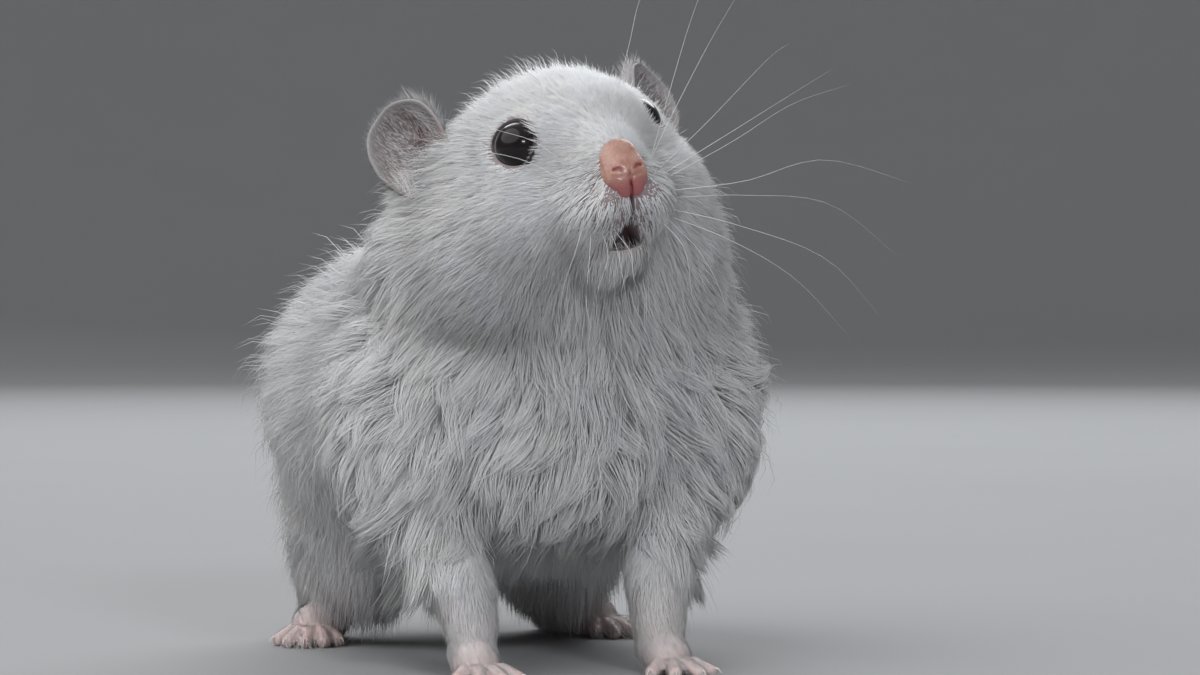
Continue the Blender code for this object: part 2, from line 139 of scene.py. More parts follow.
PAIRED_COAT = {
    "shoulder": ((20, -2, 34), (0.25, 0.75, -0.75), 5.2, 2.8),
    "side": ((24, 10, 28), (0, 0.85, -0.6), 5.2, 2.9),
    "flank": ((23, 25, 24), (0, 0.8, -0.7), 5.2, 2.9),
    "haunch": ((19, 32, 14), (0.1, 0.6, -0.9), 4.6, 2.4),
    "low side": ((20, 8, 14), (0, 0.35, -1), 6.4, 2.6),
    "low haunch": ((15, 20, 8), (0, 0.3, -1), 6.0, 2.4),
    "breast side": ((9, -16, 30), (0.7, 0.1, -1), 6.2, 3.0),
    "armpit": ((15, -10, 24), (0.5, 0.4, -0.9), 6.2, 2.8),
    "breast low side": ((8, -13, 18), (0.3, -0.1, -1), 6.6, 2.4),
    "arm top": ((12, -12, 15.5), (0.35, -0.2, -1), 5.6, 1.9),
    "throat side": ((10, -14, 42), (0.4, 0.3, -0.9), 4.6, 2.0),
    "ruff": ((17, -6, 46), (0.2, 0.8, -0.7), 4.4, 1.9),
    "elbow": ((14.5, -6, 15), (0.7, 0.3, -0.8), 6.0, 1.8),
    "forearm": ((10, -12, 9), (0, -0.1, -1), 2.3, 0.6),
    "wrist": ((9.8, -13, 5), (0, -0.2, -1), 2.1, 0.4),
    "fore toes": ((10, -16, 2), (0, -1, -0.3), 1.1, 0.25),
    "belly side": ((12, 8, 8), (0.2, 0.4, -1), 5.6, 2.2),
    "hock": ((14, 33, 6), (0, -0.3, -1), 2.6, 0.7),
    "hind toes": ((16, 27, 2.5), (0.3, -1, -0.3), 1.0, 0.25),
}
# In the head's frame the hair runs back from the nose: (point, hair length, depth of the coat)
HEAD_PART_POINT = (0, -15.5, -0.5)
HEAD_COAT = [
    ((0, -12.5, 2.5), 0.8, 0.35),  # above the nose
    ((0, -10, 4.5), 1.1, 0.5),
    ((0, -4, 9), 2.0, 0.75),  # forehead
    ((0, 3, 11), 3.6, 1.1),  # crown
    ((0, 11, 6), 3.4, 1.8),
    ((0, -12, -7), 0.9, 0.35),  # lip
    ((0, -9, -11.0), 2.7, 0.65),  # chin
    ((0, -4, -12), 4.0, 1.5),
]
PAIRED_HEAD_COAT = [
    ((3, -12.5, -3), 0.9, 0.35),  # beside the nose
    ((4.5, -10.5, -5.5), 1.8, 0.5),  # whisker pad
    ((8, -7, -1), 1.6, 0.55),
    ((5.6, -8.6, -3), 2.0, 0.15),  # behind the whisker pad
    ((6, -5, 7), 1.4, 0.6),  # brow
    ((9, 0, 7.5), 2.4, 0.9),  # temple
    ((12, -1, -5), 3.1, 1.1),  # cheek
    ((14, 4, -6), 4.6, 1.9),
    ((9, -4, -10), 3.3, 1.2),
    ((12, 8, 4), 3.6, 1.6),
]
EYE_COAT = np.array((0.8, 0.32))  # hair length and depth of the coat round the eyes


def unit(vectors):
    vectors = np.asarray(vectors, float)
    return vectors / np.maximum(np.linalg.norm(vectors, axis=-1, keepdims=True), 1e-9)


def smooth_step(low, high, value):
    part = np.clip((value - low) / (high - low), 0, 1)
    return part * part * (3 - 2 * part)


def hump(*ratios):
    """1 where all the ratios are 0, and softly down to 0 well past 1."""
    return np.exp(-sum(r**2 for r in ratios))


def mirrored(point, side):
    return np.array((point[0] * side, point[1], point[2]), float)


def from_head(points):
    """Points in the head's frame as points of the animal."""
    return np.asarray(points, float) @ HEAD_AXES.T + HEAD_CENTRE


def to_head(points):
    return (np.asarray(points, float) - HEAD_CENTRE) @ HEAD_AXES


def nearer_of(points, places):
    """How far each point lies from the nearest of the places."""
    return np.min([np.linalg.norm(points - place, axis=-1) for place in places], axis=0)


EYE_PLACES = {side: from_head(mirrored(EYE_CENTRES[side], side)) for side in SIDES.values()}


def eye_distance(points):
    return nearer_of(points, EYE_PLACES.values())


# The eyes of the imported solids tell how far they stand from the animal's own frame
PACKED_EYE = (6.5, -5.8, 3.7)
eye_boxes = [np.array(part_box(f"eye_{name}")).mean(axis=0) for name in SIDES]
eye_middles = [from_head(mirrored(PACKED_EYE, side)) for side in SIDES.values()]
PACKED_SHIFT = np.round(np.mean(eye_boxes, axis=0) / MM - np.mean(eye_middles, axis=0), 1)


# ---------------------------------------------------------------- distance to the body
def x_turn(degrees):
    c, s = math.cos(math.radians(degrees)), math.sin(math.radians(degrees))
    return np.array(((1, 0, 0), (0, c, -s), (0, s, c)))


def ellipsoid_distance(points, centre, half, axes):
    """About how far outside a turned ellipsoid each point lies."""
    local = (points - centre) @ axes
    near = np.sqrt(((local / half) ** 2).sum(axis=1))
    steep = np.sqrt(((local / np.square(half)) ** 2).sum(axis=1))
    return near * (near - 1) / np.maximum(steep, 1e-9)


def limb_distance(points, stations):
    """How far outside a tapering limb each point lies."""
    best = np.full(len(points), np.inf)
    for (a, ra), (b, rb) in zip(stations, stations[1:]):
        a, b = np.array(a, float), np.array(b, float)
        along = b - a
        part = np.clip((points - a) @ along / (along @ along), 0, 1)
        away = np.linalg.norm(points - a - part[:, None] * along, axis=1)
        best = np.minimum(best, away - (ra + part * (rb - ra)))
    return best


def soft_union(distances, blend):
    """Several distances as one distance to their softly blended union."""
    distances = np.array(distances)
    least = distances.min(axis=0)
    return least - blend * np.log(np.exp((least - distances) / blend).sum(axis=0))


def limb_on(stations, side):
    """The limb, given for the left, on that side."""
    return [(mirrored(p, side), r) for p, r in stations]


def on_both_sides(rows, mirror=mirrored):
    """Each row, given for the left, with its point put on the right and on the left."""
    return [(mirror(point, side), *rest) for side in SIDES.values() for point, *rest in rows]


def solid_of(point, half, degrees, axes=np.eye(3)):
    """Centre, half sizes and axes of an ellipsoid."""
    return np.array(point, float), np.array(half, float), axes @ x_turn(degrees)


def body_place(point, side):
    """A paired mass's centre, shifted to the left towards the shoulders."""
    forward = min(max((16 - point[1]) / 18, 0), 1)
    return mirrored(point, side) + np.array((SHOULDER_SHIFT * forward, 0, 0))


BODY_PARTS = [solid_of(*row) for row in BODY_MASSES + on_both_sides(PAIRED_MASSES, body_place)]
HEAD_PARTS = [
    solid_of(from_head(point), half, degrees, HEAD_AXES)
    for point, half, degrees in HEAD_MASSES + on_both_sides(PAIRED_HEAD_MASSES)
]
LEGS = [limb_on(limb, side) for side in SIDES.values() for limb in (FORELEG, HIND_SHANK)]


def body_distance(points):
    masses = [ellipsoid_distance(points, *part) for part in BODY_PARTS]
    masses.append(limb_distance(points, NECK))
    limbs = [soft_union(masses, BODY_BLEND)] + [limb_distance(points, leg) for leg in LEGS]
    return soft_union(limbs, HEAD_BLEND)


def head_distance(points):
    return soft_union([ellipsoid_distance(points, *part) for part in HEAD_PARTS], HEAD_BLEND)


def coat_surface(points):
    """How far each point lies outside the coat's outline, without feet and tail."""
    return soft_union([body_distance(points), head_distance(points)], BODY_BLEND)


def foot_limbs(foot, side):
    """Stations of the sole and of each toe, which fan out ahead of the palm."""
    (heel, heel_radius), (palm, palm_radius) = foot["heel"], foot["palm"]
    limbs = [[(heel, heel_radius), (palm, palm_radius)]]
    radius = foot["toe_radius"]
    for angle, length in foot["toes"]:
        way = math.radians(angle + foot["turn"])
        out = np.array((math.sin(way), -math.cos(way), 0))
        root = np.array(palm, float) + out * palm_radius * 0.7
        root[2] = radius * 1.25
        knuckle = root + out * length * 0.45 + np.array((0, 0, radius * 0.35))
        tip = root + out * length - np.array((0, 0, radius * 0.5))
        limbs.append([(root, radius), (knuckle, radius * 0.94), (tip, radius * 0.84)])
    return [limb_on(limb, side) for limb in limbs]


FOOT_LIMBS = [
    limb for foot in (FOREFOOT, HINDFOOT) for side in SIDES.values() for limb in foot_limbs(foot, side)
]

# Guides of the coat, both sides
BODY_GUIDES = list(MIDLINE_COAT.values()) + [
    (mirrored(p, side), mirrored(w, side), *sizes)
    for side in SIDES.values()
    for p, w, *sizes in PAIRED_COAT.values()
]
GUIDE_POINTS = np.array([g[0] for g in BODY_GUIDES], float)
GUIDE_WAYS = unit([g[1] for g in BODY_GUIDES])
GUIDE_SIZES = np.array([g[2:] for g in BODY_GUIDES], float)
HEAD_GUIDES = HEAD_COAT + on_both_sides(PAIRED_HEAD_COAT)
HEAD_GUIDE_POINTS = from_head([g[0] for g in HEAD_GUIDES])
HEAD_GUIDE_SIZES = np.array([g[1:] for g in HEAD_GUIDES], float)


def nearness(points, guides, soft):
    """Each guide's share at each point, more for the nearer ones."""
    away = ((points[:, None, :] - guides[None]) ** 2).sum(axis=2) + soft
    share = away**-2
    return share / share.sum(axis=1, keepdims=True)


def head_share(points):
    """1 on the head, 0 on the body, with a soft change between them."""
    lead = np.clip((body_distance(points) - head_distance(points)) / 1.3, -30, 30)
    return 1 / (1 + np.exp(-lead))


def coat_sizes(points):
    """Hair length and coat depth at each point."""
    on_head = head_share(points)[:, None]
    sizes = nearness(points, GUIDE_POINTS, 4) @ GUIDE_SIZES * (1 - on_head)
    sizes += nearness(points, HEAD_GUIDE_POINTS, 2) @ HEAD_GUIDE_SIZES * on_head
    near_eye = 1 - smooth_step(2.9, 4.6, eye_distance(points))
    return sizes + (EYE_COAT - sizes) * near_eye[:, None]


def coat_way(points):
    """The way the hair runs at each point."""
    on_head = head_share(points)[:, None]
    body = nearness(points, GUIDE_POINTS, 4) @ GUIDE_WAYS
    back = unit(points - from_head(HEAD_PART_POINT))
    return unit(unit(body) * (1 - on_head) + back * on_head)


FAR = 9.0  # a distance past which nothing blends
TOE_BLEND, SKIN_BLEND = 0.18, 0.3


def feet_distance(points):
    """How far outside the feet each point lies; points high above them only count as far."""
    away = np.full(len(points), FAR)
    low = points[:, 2] < FAR
    if low.any():
        away[low] = soft_union([limb_distance(points[low], limb) for limb in FOOT_LIMBS], TOE_BLEND)
    return away


def skin_distance(points, depth=0.0):
    """How far outside the skin each point lies, where the coat has that depth."""
    tail = limb_distance(points, TAIL) + TAIL_COAT
    whole = soft_union([coat_surface(points) + depth, feet_distance(points), tail], SKIN_BLEND)
    return np.maximum(whole, -points[:, 2])


def slope_of(distance, points, here=None, step=0.05):
    here = distance(points) if here is None else here
    return np.stack([(distance(points + step * axis) - here) / step for axis in np.eye(3)], axis=1)


def settled(points, rounds):
    """The points moved onto the skin."""
    points = points.copy()
    for _ in range(rounds):
        depth = coat_sizes(points)[:, 1]
        here = skin_distance(points, depth)
        slope = slope_of(lambda at: skin_distance(at, depth), points, here)
        reach = np.clip(here / np.maximum((slope**2).sum(axis=1), 0.25), -2, 2)
        points -= slope * reach[:, None]
    return points


# ---------------------------------------------------------------- meshes
def placed(points):
    """Points of the animal, in millimetres, as points of the shared frame, in metres."""
    return (np.asarray(points, float) + PACKED_SHIFT) * MM


def numbers_of(items, field, width, kind=float):
    """One field of all the items, a row for each."""
    flat = np.empty(len(items) * width, kind)
    items.foreach_get(field, flat)
    return flat.reshape(-1, width)


def corners_of(mesh):
    return numbers_of(mesh.vertices, "co", 3)


def set_corners(mesh, points):
    mesh.vertices.foreach_set("co", np.asarray(points, float).ravel())
    mesh.update()


def linked(name, mesh, finish=None):
    obj = bpy.data.objects.new(name, mesh)
    bpy.context.scene.collection.objects.link(obj)
    if finish:
        mesh.materials.append(finish)
    mesh.shade_smooth()
    return obj


def poured(bm, mesh):
    """Puts what the bmesh holds into the mesh."""
    bm.to_mesh(mesh)
    bm.free()
    return mesh


def mesh_of(name, points, faces):
    """A mesh of the shared frame from points of the animal."""
    mesh = bpy.data.meshes.new(name)
    mesh.from_pydata(placed(points).tolist(), [], [list(f) for f in faces])
    bm = bmesh.new()
    bm.from_mesh(mesh)
    bmesh.ops.recalc_face_normals(bm, faces=bm.faces)
    return poured(bm, mesh)


def fan_faces(tip, first, spokes):
    """Triangles from the tip to a ring of corners."""
    return [(tip, first + k, first + (k + 1) % spokes) for k in range(spokes)]


def ring_faces(first, rings, spokes):
    """Quads between rings of corners that follow on each other."""
    faces = []
    for start in range(first, first + (rings - 1) * spokes, spokes):
        for k in range(spokes):
            a, b = start + k, start + (k + 1) % spokes
            faces.append((a, a + spokes, b + spokes, b))
    return faces


def baked(obj):
    """Puts the object's modifiers into its mesh."""
    depsgraph = bpy.context.evaluated_depsgraph_get()
    obj.data = bpy.data.meshes.new_from_object(obj.evaluated_get(depsgraph))
    obj.modifiers.clear()
    return obj.data


def add_modifier(obj, kind, **settings):
    made = obj.modifiers.new(kind.title(), kind)
    for key, value in settings.items():
        setattr(made, key, value)
    return made


def value_on(mesh, name, values):
    """Writes one number for each corner point of the mesh."""
    mesh.attributes.new(name, "FLOAT", "POINT").data.foreach_set("value", np.asarray(values, np.float32))


def add_ball(bm, centre, half, axes, rings=16):
    place = Matrix.LocRotScale(Vector(centre), Matrix(axes.tolist()).to_quaternion(), Vector(half))
    bmesh.ops.create_uvsphere(bm, u_segments=rings * 2, v_segments=rings, radius=1, matrix=place)


def add_limb(bm, stations, grow, rings=10):
    """Balls down a limb with tapered tubes between them."""
    points = [(Vector(p), r + grow) for p, r in stations]
    for centre, radius in points:
        add_ball(bm, centre, (radius,) * 3, np.eye(3), rings)
    for (a, ra), (b, rb) in zip(points, points[1:]):
        along = b - a
        tube = Matrix.Translation((a + b) / 2) @ along.to_track_quat("Z", "Y").to_matrix().to_4x4()
        sizes = {"radius1": ra, "radius2": rb, "depth": along.length}
        bmesh.ops.create_cone(bm, cap_ends=True, segments=rings * 2, matrix=tube, **sizes)


def ride(piece, slot, *nodes):
    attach(piece, BODY)
    if nodes:
        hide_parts(*nodes)
    return piece


# ---------------------------------------------------------------- shader groups and finishes
def node_in(tree, kind, inputs=None, **settings):
    made = tree.nodes.new(kind)
    for key, value in settings.items():
        setattr(made, key, value)
    for key, value in (inputs or {}).items():
        if isinstance(value, bpy.types.NodeSocket):
            tree.links.new(value, made.inputs[key])
        else:
            made.inputs[key].default_value = value
    return made


def new_group(name, inputs, outputs):
    tree = bpy.data.node_groups.new(name, "ShaderNodeTree")
    for label, kind, value in inputs:
        socket = tree.interface.new_socket(label, in_out="INPUT", socket_type=kind)
        if value is not None:
            socket.default_value = value
    for label, kind in outputs:
        tree.interface.new_socket(label, in_out="OUTPUT", socket_type=kind)
    return tree, tree.nodes.new("NodeGroupInput").outputs, tree.nodes.new("NodeGroupOutput").inputs


def mix_colour(tree, factor, first, second, blend="MIX"):
    inputs = {0: factor, 6: first, 7: second}
    return node_in(tree, "ShaderNodeMix", inputs, data_type="RGBA", blend_type=blend).outputs[2]


def blotches(tree, scale, detail):
    """Soft noise over the object, at that many blotches to the metre."""
    place = node_in(tree, "ShaderNodeTexCoord").outputs["Object"]
    inputs = {"Vector": place, "Scale": scale, "Detail": detail, "Roughness": 0.55}
    return node_in(tree, "ShaderNodeTexNoise", inputs).outputs["Fac"]


def ramped(tree, value, low, high):
    """The value carried from low..high to 0..1."""
    inputs = {"Value": value, "From Min": low, "From Max": high}
    return node_in(tree, "ShaderNodeMapRange", inputs, clamp=True).outputs["Result"]


def pelt_tone_group():
    """Colour of hair and skin: white hair, greyer at its root, over pinkish skin."""
    tree, given, put = new_group(
        "pelt_tone",
        [
            ("White", "NodeSocketColor", None),
            ("Root", "NodeSocketColor", None),
            ("Bare", "NodeSocketColor", None),
            ("Along", "NodeSocketFloat", 1.0),
            ("Shade", "NodeSocketFloat", 0.5),
            ("Bareness", "NodeSocketFloat", 0.0),
        ],
        [("Color", "NodeSocketColor")],
    )
    hair = mix_colour(tree, given["Along"], given["Root"], given["White"])
    broad = ramped(tree, blotches(tree, 160, 4), 0.35, 0.65)
    cool = mix_colour(tree, broad, (0.955, 0.965, 0.985, 1), (1.0, 0.992, 0.975, 1))
    tinted = mix_colour(tree, 1.0, hair, cool, "MULTIPLY")
    inputs = {"Value": given["Shade"], "To Min": 0.80, "To Max": 1.06}
    strand = node_in(tree, "ShaderNodeMapRange", inputs)
    scaled = {0: tinted, "Scale": strand.outputs[0]}
    shaded = node_in(tree, "ShaderNodeVectorMath", scaled, operation="SCALE")
    fine = ramped(tree, blotches(tree, 1400, 3), 0.3, 0.7)
    bare = mix_colour(tree, fine, given["Bare"], (0.86, 0.60, 0.57, 1))
    skin_part = mix_colour(tree, 0.35, given["Bare"], bare)
    tree.links.new(mix_colour(tree, given["Bareness"], shaded.outputs[0], skin_part), put["Color"])
    return tree


def skin_grain_group():
    """Fine pores and creases for bare skin, as a height."""
    tree, given, put = new_group(
        "skin_grain", [("Scale", "NodeSocketFloat", 3000.0)], [("Height", "NodeSocketFloat")]
    )
    place = node_in(tree, "ShaderNodeTexCoord").outputs["Object"]
    inputs = {"Vector": place, "Scale": given["Scale"]}
    cells = node_in(tree, "ShaderNodeTexVoronoi", inputs, feature="SMOOTH_F1").outputs["Distance"]
    noise = node_in(tree, "ShaderNodeTexNoise", {**inputs, "Detail": 4.0}).outputs["Fac"]
    both = node_in(tree, "ShaderNodeMath", {0: cells, 1: noise}, operation="ADD")
    tree.links.new(both.outputs[0], put["Height"])
    return tree


PELT_TONE = pelt_tone_group()
SKIN_GRAIN = skin_grain_group()


def finish_of(name, roughness, **shader_values):
    made = bpy.data.materials.new(name)
    made.use_nodes = True
    tree = made.node_tree
    shader = tree.nodes["Principled BSDF"]
    shader.inputs["Roughness"].default_value = roughness
    for key, value in shader_values.items():
        shader.inputs[key.replace("_", " ")].default_value = value
    return made, tree, shader


def attribute(tree, name):
    return node_in(tree, "ShaderNodeAttribute", attribute_name=name).outputs["Fac"]


def add_grain(tree, shader, strength, depth, scale=3000.0):
    """Pores and creases over the surface, with their depth in millimetres."""
    height = node_in(tree, "ShaderNodeGroup", {"Scale": scale}, node_tree=SKIN_GRAIN).outputs["Height"]
    inputs = {"Height": height, "Strength": strength, "Distance": depth * MM}
    bump = node_in(tree, "ShaderNodeBump", inputs)
    tree.links.new(bump.outputs[0], shader.inputs["Normal"])


def lay_colours(tree, shader, tone, layers):
    """Gives the shader the tone, and over it each layer's colour where its attribute is 1."""
    for layer, over in layers.items():
        tone = mix_colour(tree, attribute(tree, layer), tone, (*over, 1))
    tree.links.new(tone, shader.inputs["Base Color"])


def pelt_finish(name, roughness, white, root, bare, layers, hair):
    """The finish of hair, or of the skin under it."""
    made, tree, shader = finish_of(name, roughness)
    inputs = {"White": (*white, 1), "Root": (*root, 1), "Bare": (*bare, 1)}
    inputs["Bareness"] = attribute(tree, "bareness")
    if hair:
        inputs.update({"Along": attribute(tree, "along"), "Shade": attribute(tree, "shade")})
    else:
        add_grain(tree, shader, 0.5, 0.05)
    tone = node_in(tree, "ShaderNodeGroup", inputs, node_tree=PELT_TONE).outputs["Color"]
    lay_colours(tree, shader, tone, layers)
    return made


def blotched_finish(name, roughness, blotch, dark, light, layers=None, grain=None, crisp=True, **values):
    """A finish in two tones, laid in blotches of that scale and detail."""
    made, tree, shader = finish_of(name, roughness, **values)
    factor = blotches(tree, *blotch)
    factor = ramped(tree, factor, 0.3, 0.7) if crisp else factor
    lay_colours(tree, shader, mix_colour(tree, factor, (*dark, 1), (*light, 1)), layers or {})
    if grain:
        add_grain(tree, shader, *grain)
    return made


COAT_FINISH = pelt_finish(
    "coat_hair", 0.5, (0.96, 0.955, 0.95), (0.86, 0.85, 0.855), (0.90, 0.74, 0.71), {}, hair=True
)
# Pale under the coat; painted shade between the muzzle's bristles and on the chin under the mouth, a
# dark ring round the eyes, and painted shade in the open mouth and the lip slit
SKIN_FINISH = pelt_finish(
    "skin_under_coat", 0.55, (0.88, 0.865, 0.86), (0.7, 0.68, 0.68), (0.80, 0.57, 0.53),
    {"muzzle": (0.28, 0.22, 0.225), "mouth": (0.055, 0.018, 0.018)}, hair=False,
)

# ---------------------------------------------------------------- skin
BODY_VOXEL = 0.515
MOUTH_DEPTH, SLIT_DEPTH, PAD_SWELL, CHIN_PRESS = 2.3, 0.6, 1.0, 0.9


def mouth_opening(x, z):
    """1 inside the open mouth, which is narrow under the lip slit and wide above the lower lip."""
    down = np.clip((-6.8 - z) / 2.2, 0, 1)
    half = 0.12 + 2.1 * down**0.9
    sag = -0.1 * x**2
    across = smooth_step(half + 0.25, half - 0.2, np.abs(x))
    return across * smooth_step(-9.3, -8.7, z + sag) * smooth_step(-6.6, -7.0, z)


def carve_face(points):
    """Presses the lip slit, the open mouth and the chin in, and swells the pads of the whiskers."""
    x, y, z = to_head(points).T
    front = smooth_step(-7.5, -9.0, y)
    tongue = 0.4 * hump(x / 0.9, (z + 8.6) / 0.5)
    back = MOUTH_DEPTH * mouth_opening(x, z) * (1 - tongue)
    slit = hump(x / 0.16) * smooth_step(-4.2, -4.8, z) * smooth_step(-7.6, -7.1, z)
    back = np.maximum(back, SLIT_DEPTH * slit)
    for side in SIDES.values():
        back = back - PAD_SWELL * hump((x - 2.9 * side) / 1.9, (z + 5.6) / 1.8) * (1 - slit)
    chin = hump(x / 4.2) * smooth_step(-7.6, -10.2, z) * smooth_step(-14.5, -11.0, z)
    back = back + CHIN_PRESS * chin
    return points + (back * front)[:, None] * HEAD_AXES[:, 1]


def is_face_or_foot(points):
    local = to_head(points)
    face = (local[:, 1] < -2.5) & (local[:, 2] > -13) & (head_share(points) > 0.5)
    return face | (points[:, 2] < 4.5)


def is_mouth(points):
    x, y, z = to_head(points).T
    return (np.abs(x) < 3.4) & (y < -8) & (z > -11.8) & (z < -4.2)


def refine(mesh, chosen):
    """Splits the faces between the chosen corners in four."""
    bm = bmesh.new()
    bm.from_mesh(mesh)
    bm.verts.ensure_lookup_table()
    edges = [e for e in bm.edges if chosen[e.verts[0].index] and chosen[e.verts[1].index]]
    bmesh.ops.subdivide_edges(bm, edges=edges, cuts=1, use_grid_fill=True)
    bmesh.ops.triangulate(bm, faces=[f for f in bm.faces if len(f.verts) > 4])
    poured(bm, mesh)


def skin_mesh():
    """One closed mesh over the whole body, settled onto the skin and finer on the face and feet."""
    bm = bmesh.new()
    for centre, half, axes in BODY_PARTS:
        add_ball(bm, centre, half - 1.0, axes)
    add_limb(bm, NECK, -1.0)
    for leg in LEGS:
        add_limb(bm, leg, -0.7)
    for centre, half, axes in HEAD_PARTS:
        add_ball(bm, centre, half + HEAD_BLEND - 0.8, axes)
    for limb in FOOT_LIMBS:
        add_limb(bm, limb, 0, 8)
    add_limb(bm, TAIL, -TAIL_COAT, 8)
    obj = linked("skin", poured(bm, bpy.data.meshes.new("skin")))
    add_modifier(obj, "REMESH", mode="VOXEL", voxel_size=BODY_VOXEL, adaptivity=0)
    add_modifier(obj, "SMOOTH", factor=0.5, iterations=4)
    mesh = baked(obj)
    set_corners(mesh, settled(corners_of(mesh), 6))
    add_modifier(obj, "SMOOTH", factor=0.5, iterations=2)
    mesh = baked(obj)

    for finer in (is_face_or_foot, is_mouth):
        refine(mesh, finer(corners_of(mesh)))
        set_corners(mesh, settled(corners_of(mesh), 2))
    set_corners(mesh, carve_face(corners_of(mesh)))
    return obj


def bareness(points):
    """1 where the skin shows pink, 0 under the coat."""
    x, y, z = to_head(points).T
    legs = 1 - smooth_step(2.0, 13.0, points[:, 2])
    near_legs = (np.abs(points[:, 0]) > 4) & ((points[:, 1] < -6) | (points[:, 1] > 14))
    bare = (0.65 + 0.2 * smooth_step(3.0, 1.0, points[:, 2])) * legs * near_legs
    bare = bare * (1 - 0.6 * smooth_step(26, 31, points[:, 1]) * smooth_step(0.8, 2.5, points[:, 2]))
    front = smooth_step(-9.0, -10.5, y)
    lips = np.exp(-(((x / 1.5) ** 2 + ((z + 5.6) / 1.5) ** 2) ** 1.5))
    mouth = np.exp(-(((x / 2.1) ** 2 + ((z + 8.5) / 1.9) ** 2) ** 2))
    lower_lip = 0.4 * hump(x / 1.7, (z + 9.2) / 0.7)
    pink = np.maximum(0.3 * np.maximum(lips, mouth), lower_lip) * smooth_step(-7.0, -9.0, y)
    bare = np.maximum(bare, pink * (front + lower_lip).clip(0, 1))
    return np.maximum(bare, 0.2 * (1 - smooth_step(2.7, 3.4, eye_distance(points))))


def muzzle_shade(points):
    """1 where the skin is painted darker: painted shade between the muzzle's bristles and on the chin
    under the mouth, and a dark ring round the eyes.
    """
    x, y, z = to_head(points).T
    # painted shade between the bristles of the whisker pads
    ring = smooth_step(6.4, 3.2, np.hypot(x * 0.8, (z + 4.4) * 0.95))
    shade = ring * smooth_step(-7.0, -10.0, y) * smooth_step(0.5, -2.0, z)
    # painted shade on the chin under the mouth
    chin = hump(x / 2.4, (z + 9.2) / 0.55) * smooth_step(-6.0, -8.0, y)
    shade = np.maximum(shade, 0.6 * chin)
    eyes = 1 - smooth_step(EYE_RADIUS + 0.35, EYE_RADIUS + 0.75, eye_distance(points))
    return np.maximum(shade, 0.9 * eyes)


def mouth_shade(points):
    """1 where painted shade darkens the open mouth and the lip slit."""
    x, y, z = to_head(points).T
    slit = hump(x / 0.15) * smooth_step(-4.4, -4.9, z) * smooth_step(-7.6, -7.1, z)
    hollow = mouth_opening(x, z) * (1 - 0.6 * hump(x / 1.2, (z + 8.75) / 0.4))  # less on the tongue
    return np.maximum(hollow, 0.8 * slit) * smooth_step(-6.0, -8.0, y)


def unwrap(obj):
    """Lays out the skin's own shape as its map."""
    bpy.context.view_layer.objects.active = obj
    obj.select_set(True)
    bpy.ops.object.mode_set(mode="EDIT")
    bpy.ops.mesh.select_all(action="SELECT")
    bpy.ops.uv.smart_project(angle_limit=math.radians(60), island_margin=0.003)
    bpy.ops.object.mode_set(mode="OBJECT")
    obj.select_set(False)
    obj.data.uv_layers.active.name = "OFBake"


skin = skin_mesh()
unwrap(skin)
skin_points = corners_of(skin.data)
value_on(skin.data, "bareness", bareness(skin_points))
# painted shade between the muzzle's bristles and on the chin, and a dark ring round the eyes
value_on(skin.data, "muzzle", muzzle_shade(skin_points))
# painted shade in the open mouth and the lip slit
value_on(skin.data, "mouth", mouth_shade(skin_points))
skin.data.materials.append(SKIN_FINISH)
skin.data.shade_smooth()

# ---------------------------------------------------------------- coat
skin.data.calc_loop_triangles()
tri_corners = numbers_of(skin.data.loop_triangles, "vertices", 3, np.int32)
tri_loops = numbers_of(skin.data.loop_triangles, "loops", 3, np.int32)
loop_uv = numbers_of(skin.data.uv_layers["OFBake"].data, "uv", 2)
set_corners(skin.data, placed(skin_points))


def square_to(tri):
    """For each triangle the vector square to it, as long as twice its area."""
    return np.cross(tri[:, 1] - tri[:, 0], tri[:, 2] - tri[:, 0])


def sample_roots(count, crowd):
    """Hair roots strewn over the skin, with their place on its map: crowd is each triangle's share."""
    chosen = np.searchsorted(np.cumsum(crowd) / crowd.sum(), rng.random(count))
    tri = skin_points[tri_corners[np.minimum(chosen, len(tri_corners) - 1)]]
    share = rng.dirichlet((1, 1, 1), count)
    roots = (tri * share[:, :, None]).sum(axis=1)
    spots = (loop_uv[tri_loops[chosen]] * share[:, :, None]).sum(axis=1)
    return roots, unit(square_to(tri)), spots


def is_bare(points):
    """Places where no hair grows: nose, mouth, eyes and soles."""
    x, y, z = to_head(points).T
    nose = ((x / 1.75) ** 2 + ((z + 2.4) / 2.5) ** 2 < 1) & (y < -11)
    mouth = (mouth_opening(x, z) > 0.3) & (y < -7)
    slit = (np.abs(x) < 0.14) & (z < -4) & (z > -7.5) & (y < -9)
    return nose | mouth | slit | (points[:, 2] < 0.5) | (eye_distance(points) < EYE_RADIUS + 0.2)


# In the head's frame
EAR_FOOT, CROWN, CROWN_REACH = (11.0, 5.4, 4.8), (1.0, 0.5, 11.0), 7.5


def near_ears(points):
    """1 before the foot of each ear, where the coat is longer and stands out."""
    feet = [from_head(mirrored(EAR_FOOT, side)) for side in SIDES.values()]
    near = 1 - smooth_step(2.5, 5.5, nearer_of(points, feet))
    return near * head_share(points) * smooth_step(7.5, 5.5, to_head(points)[:, 1])


def crown_share(points):
    """1 on top of the head, where the coat stands up in wisps."""
    return hump(np.linalg.norm(points - from_head(CROWN), axis=1) / CROWN_REACH)


def breast_share(points, on_head):
    """1 on the breast, where the coat is long and lies in locks."""
    return (1 - on_head) * smooth_step(4, -8, points[:, 1]) * smooth_step(8, 14, points[:, 2])


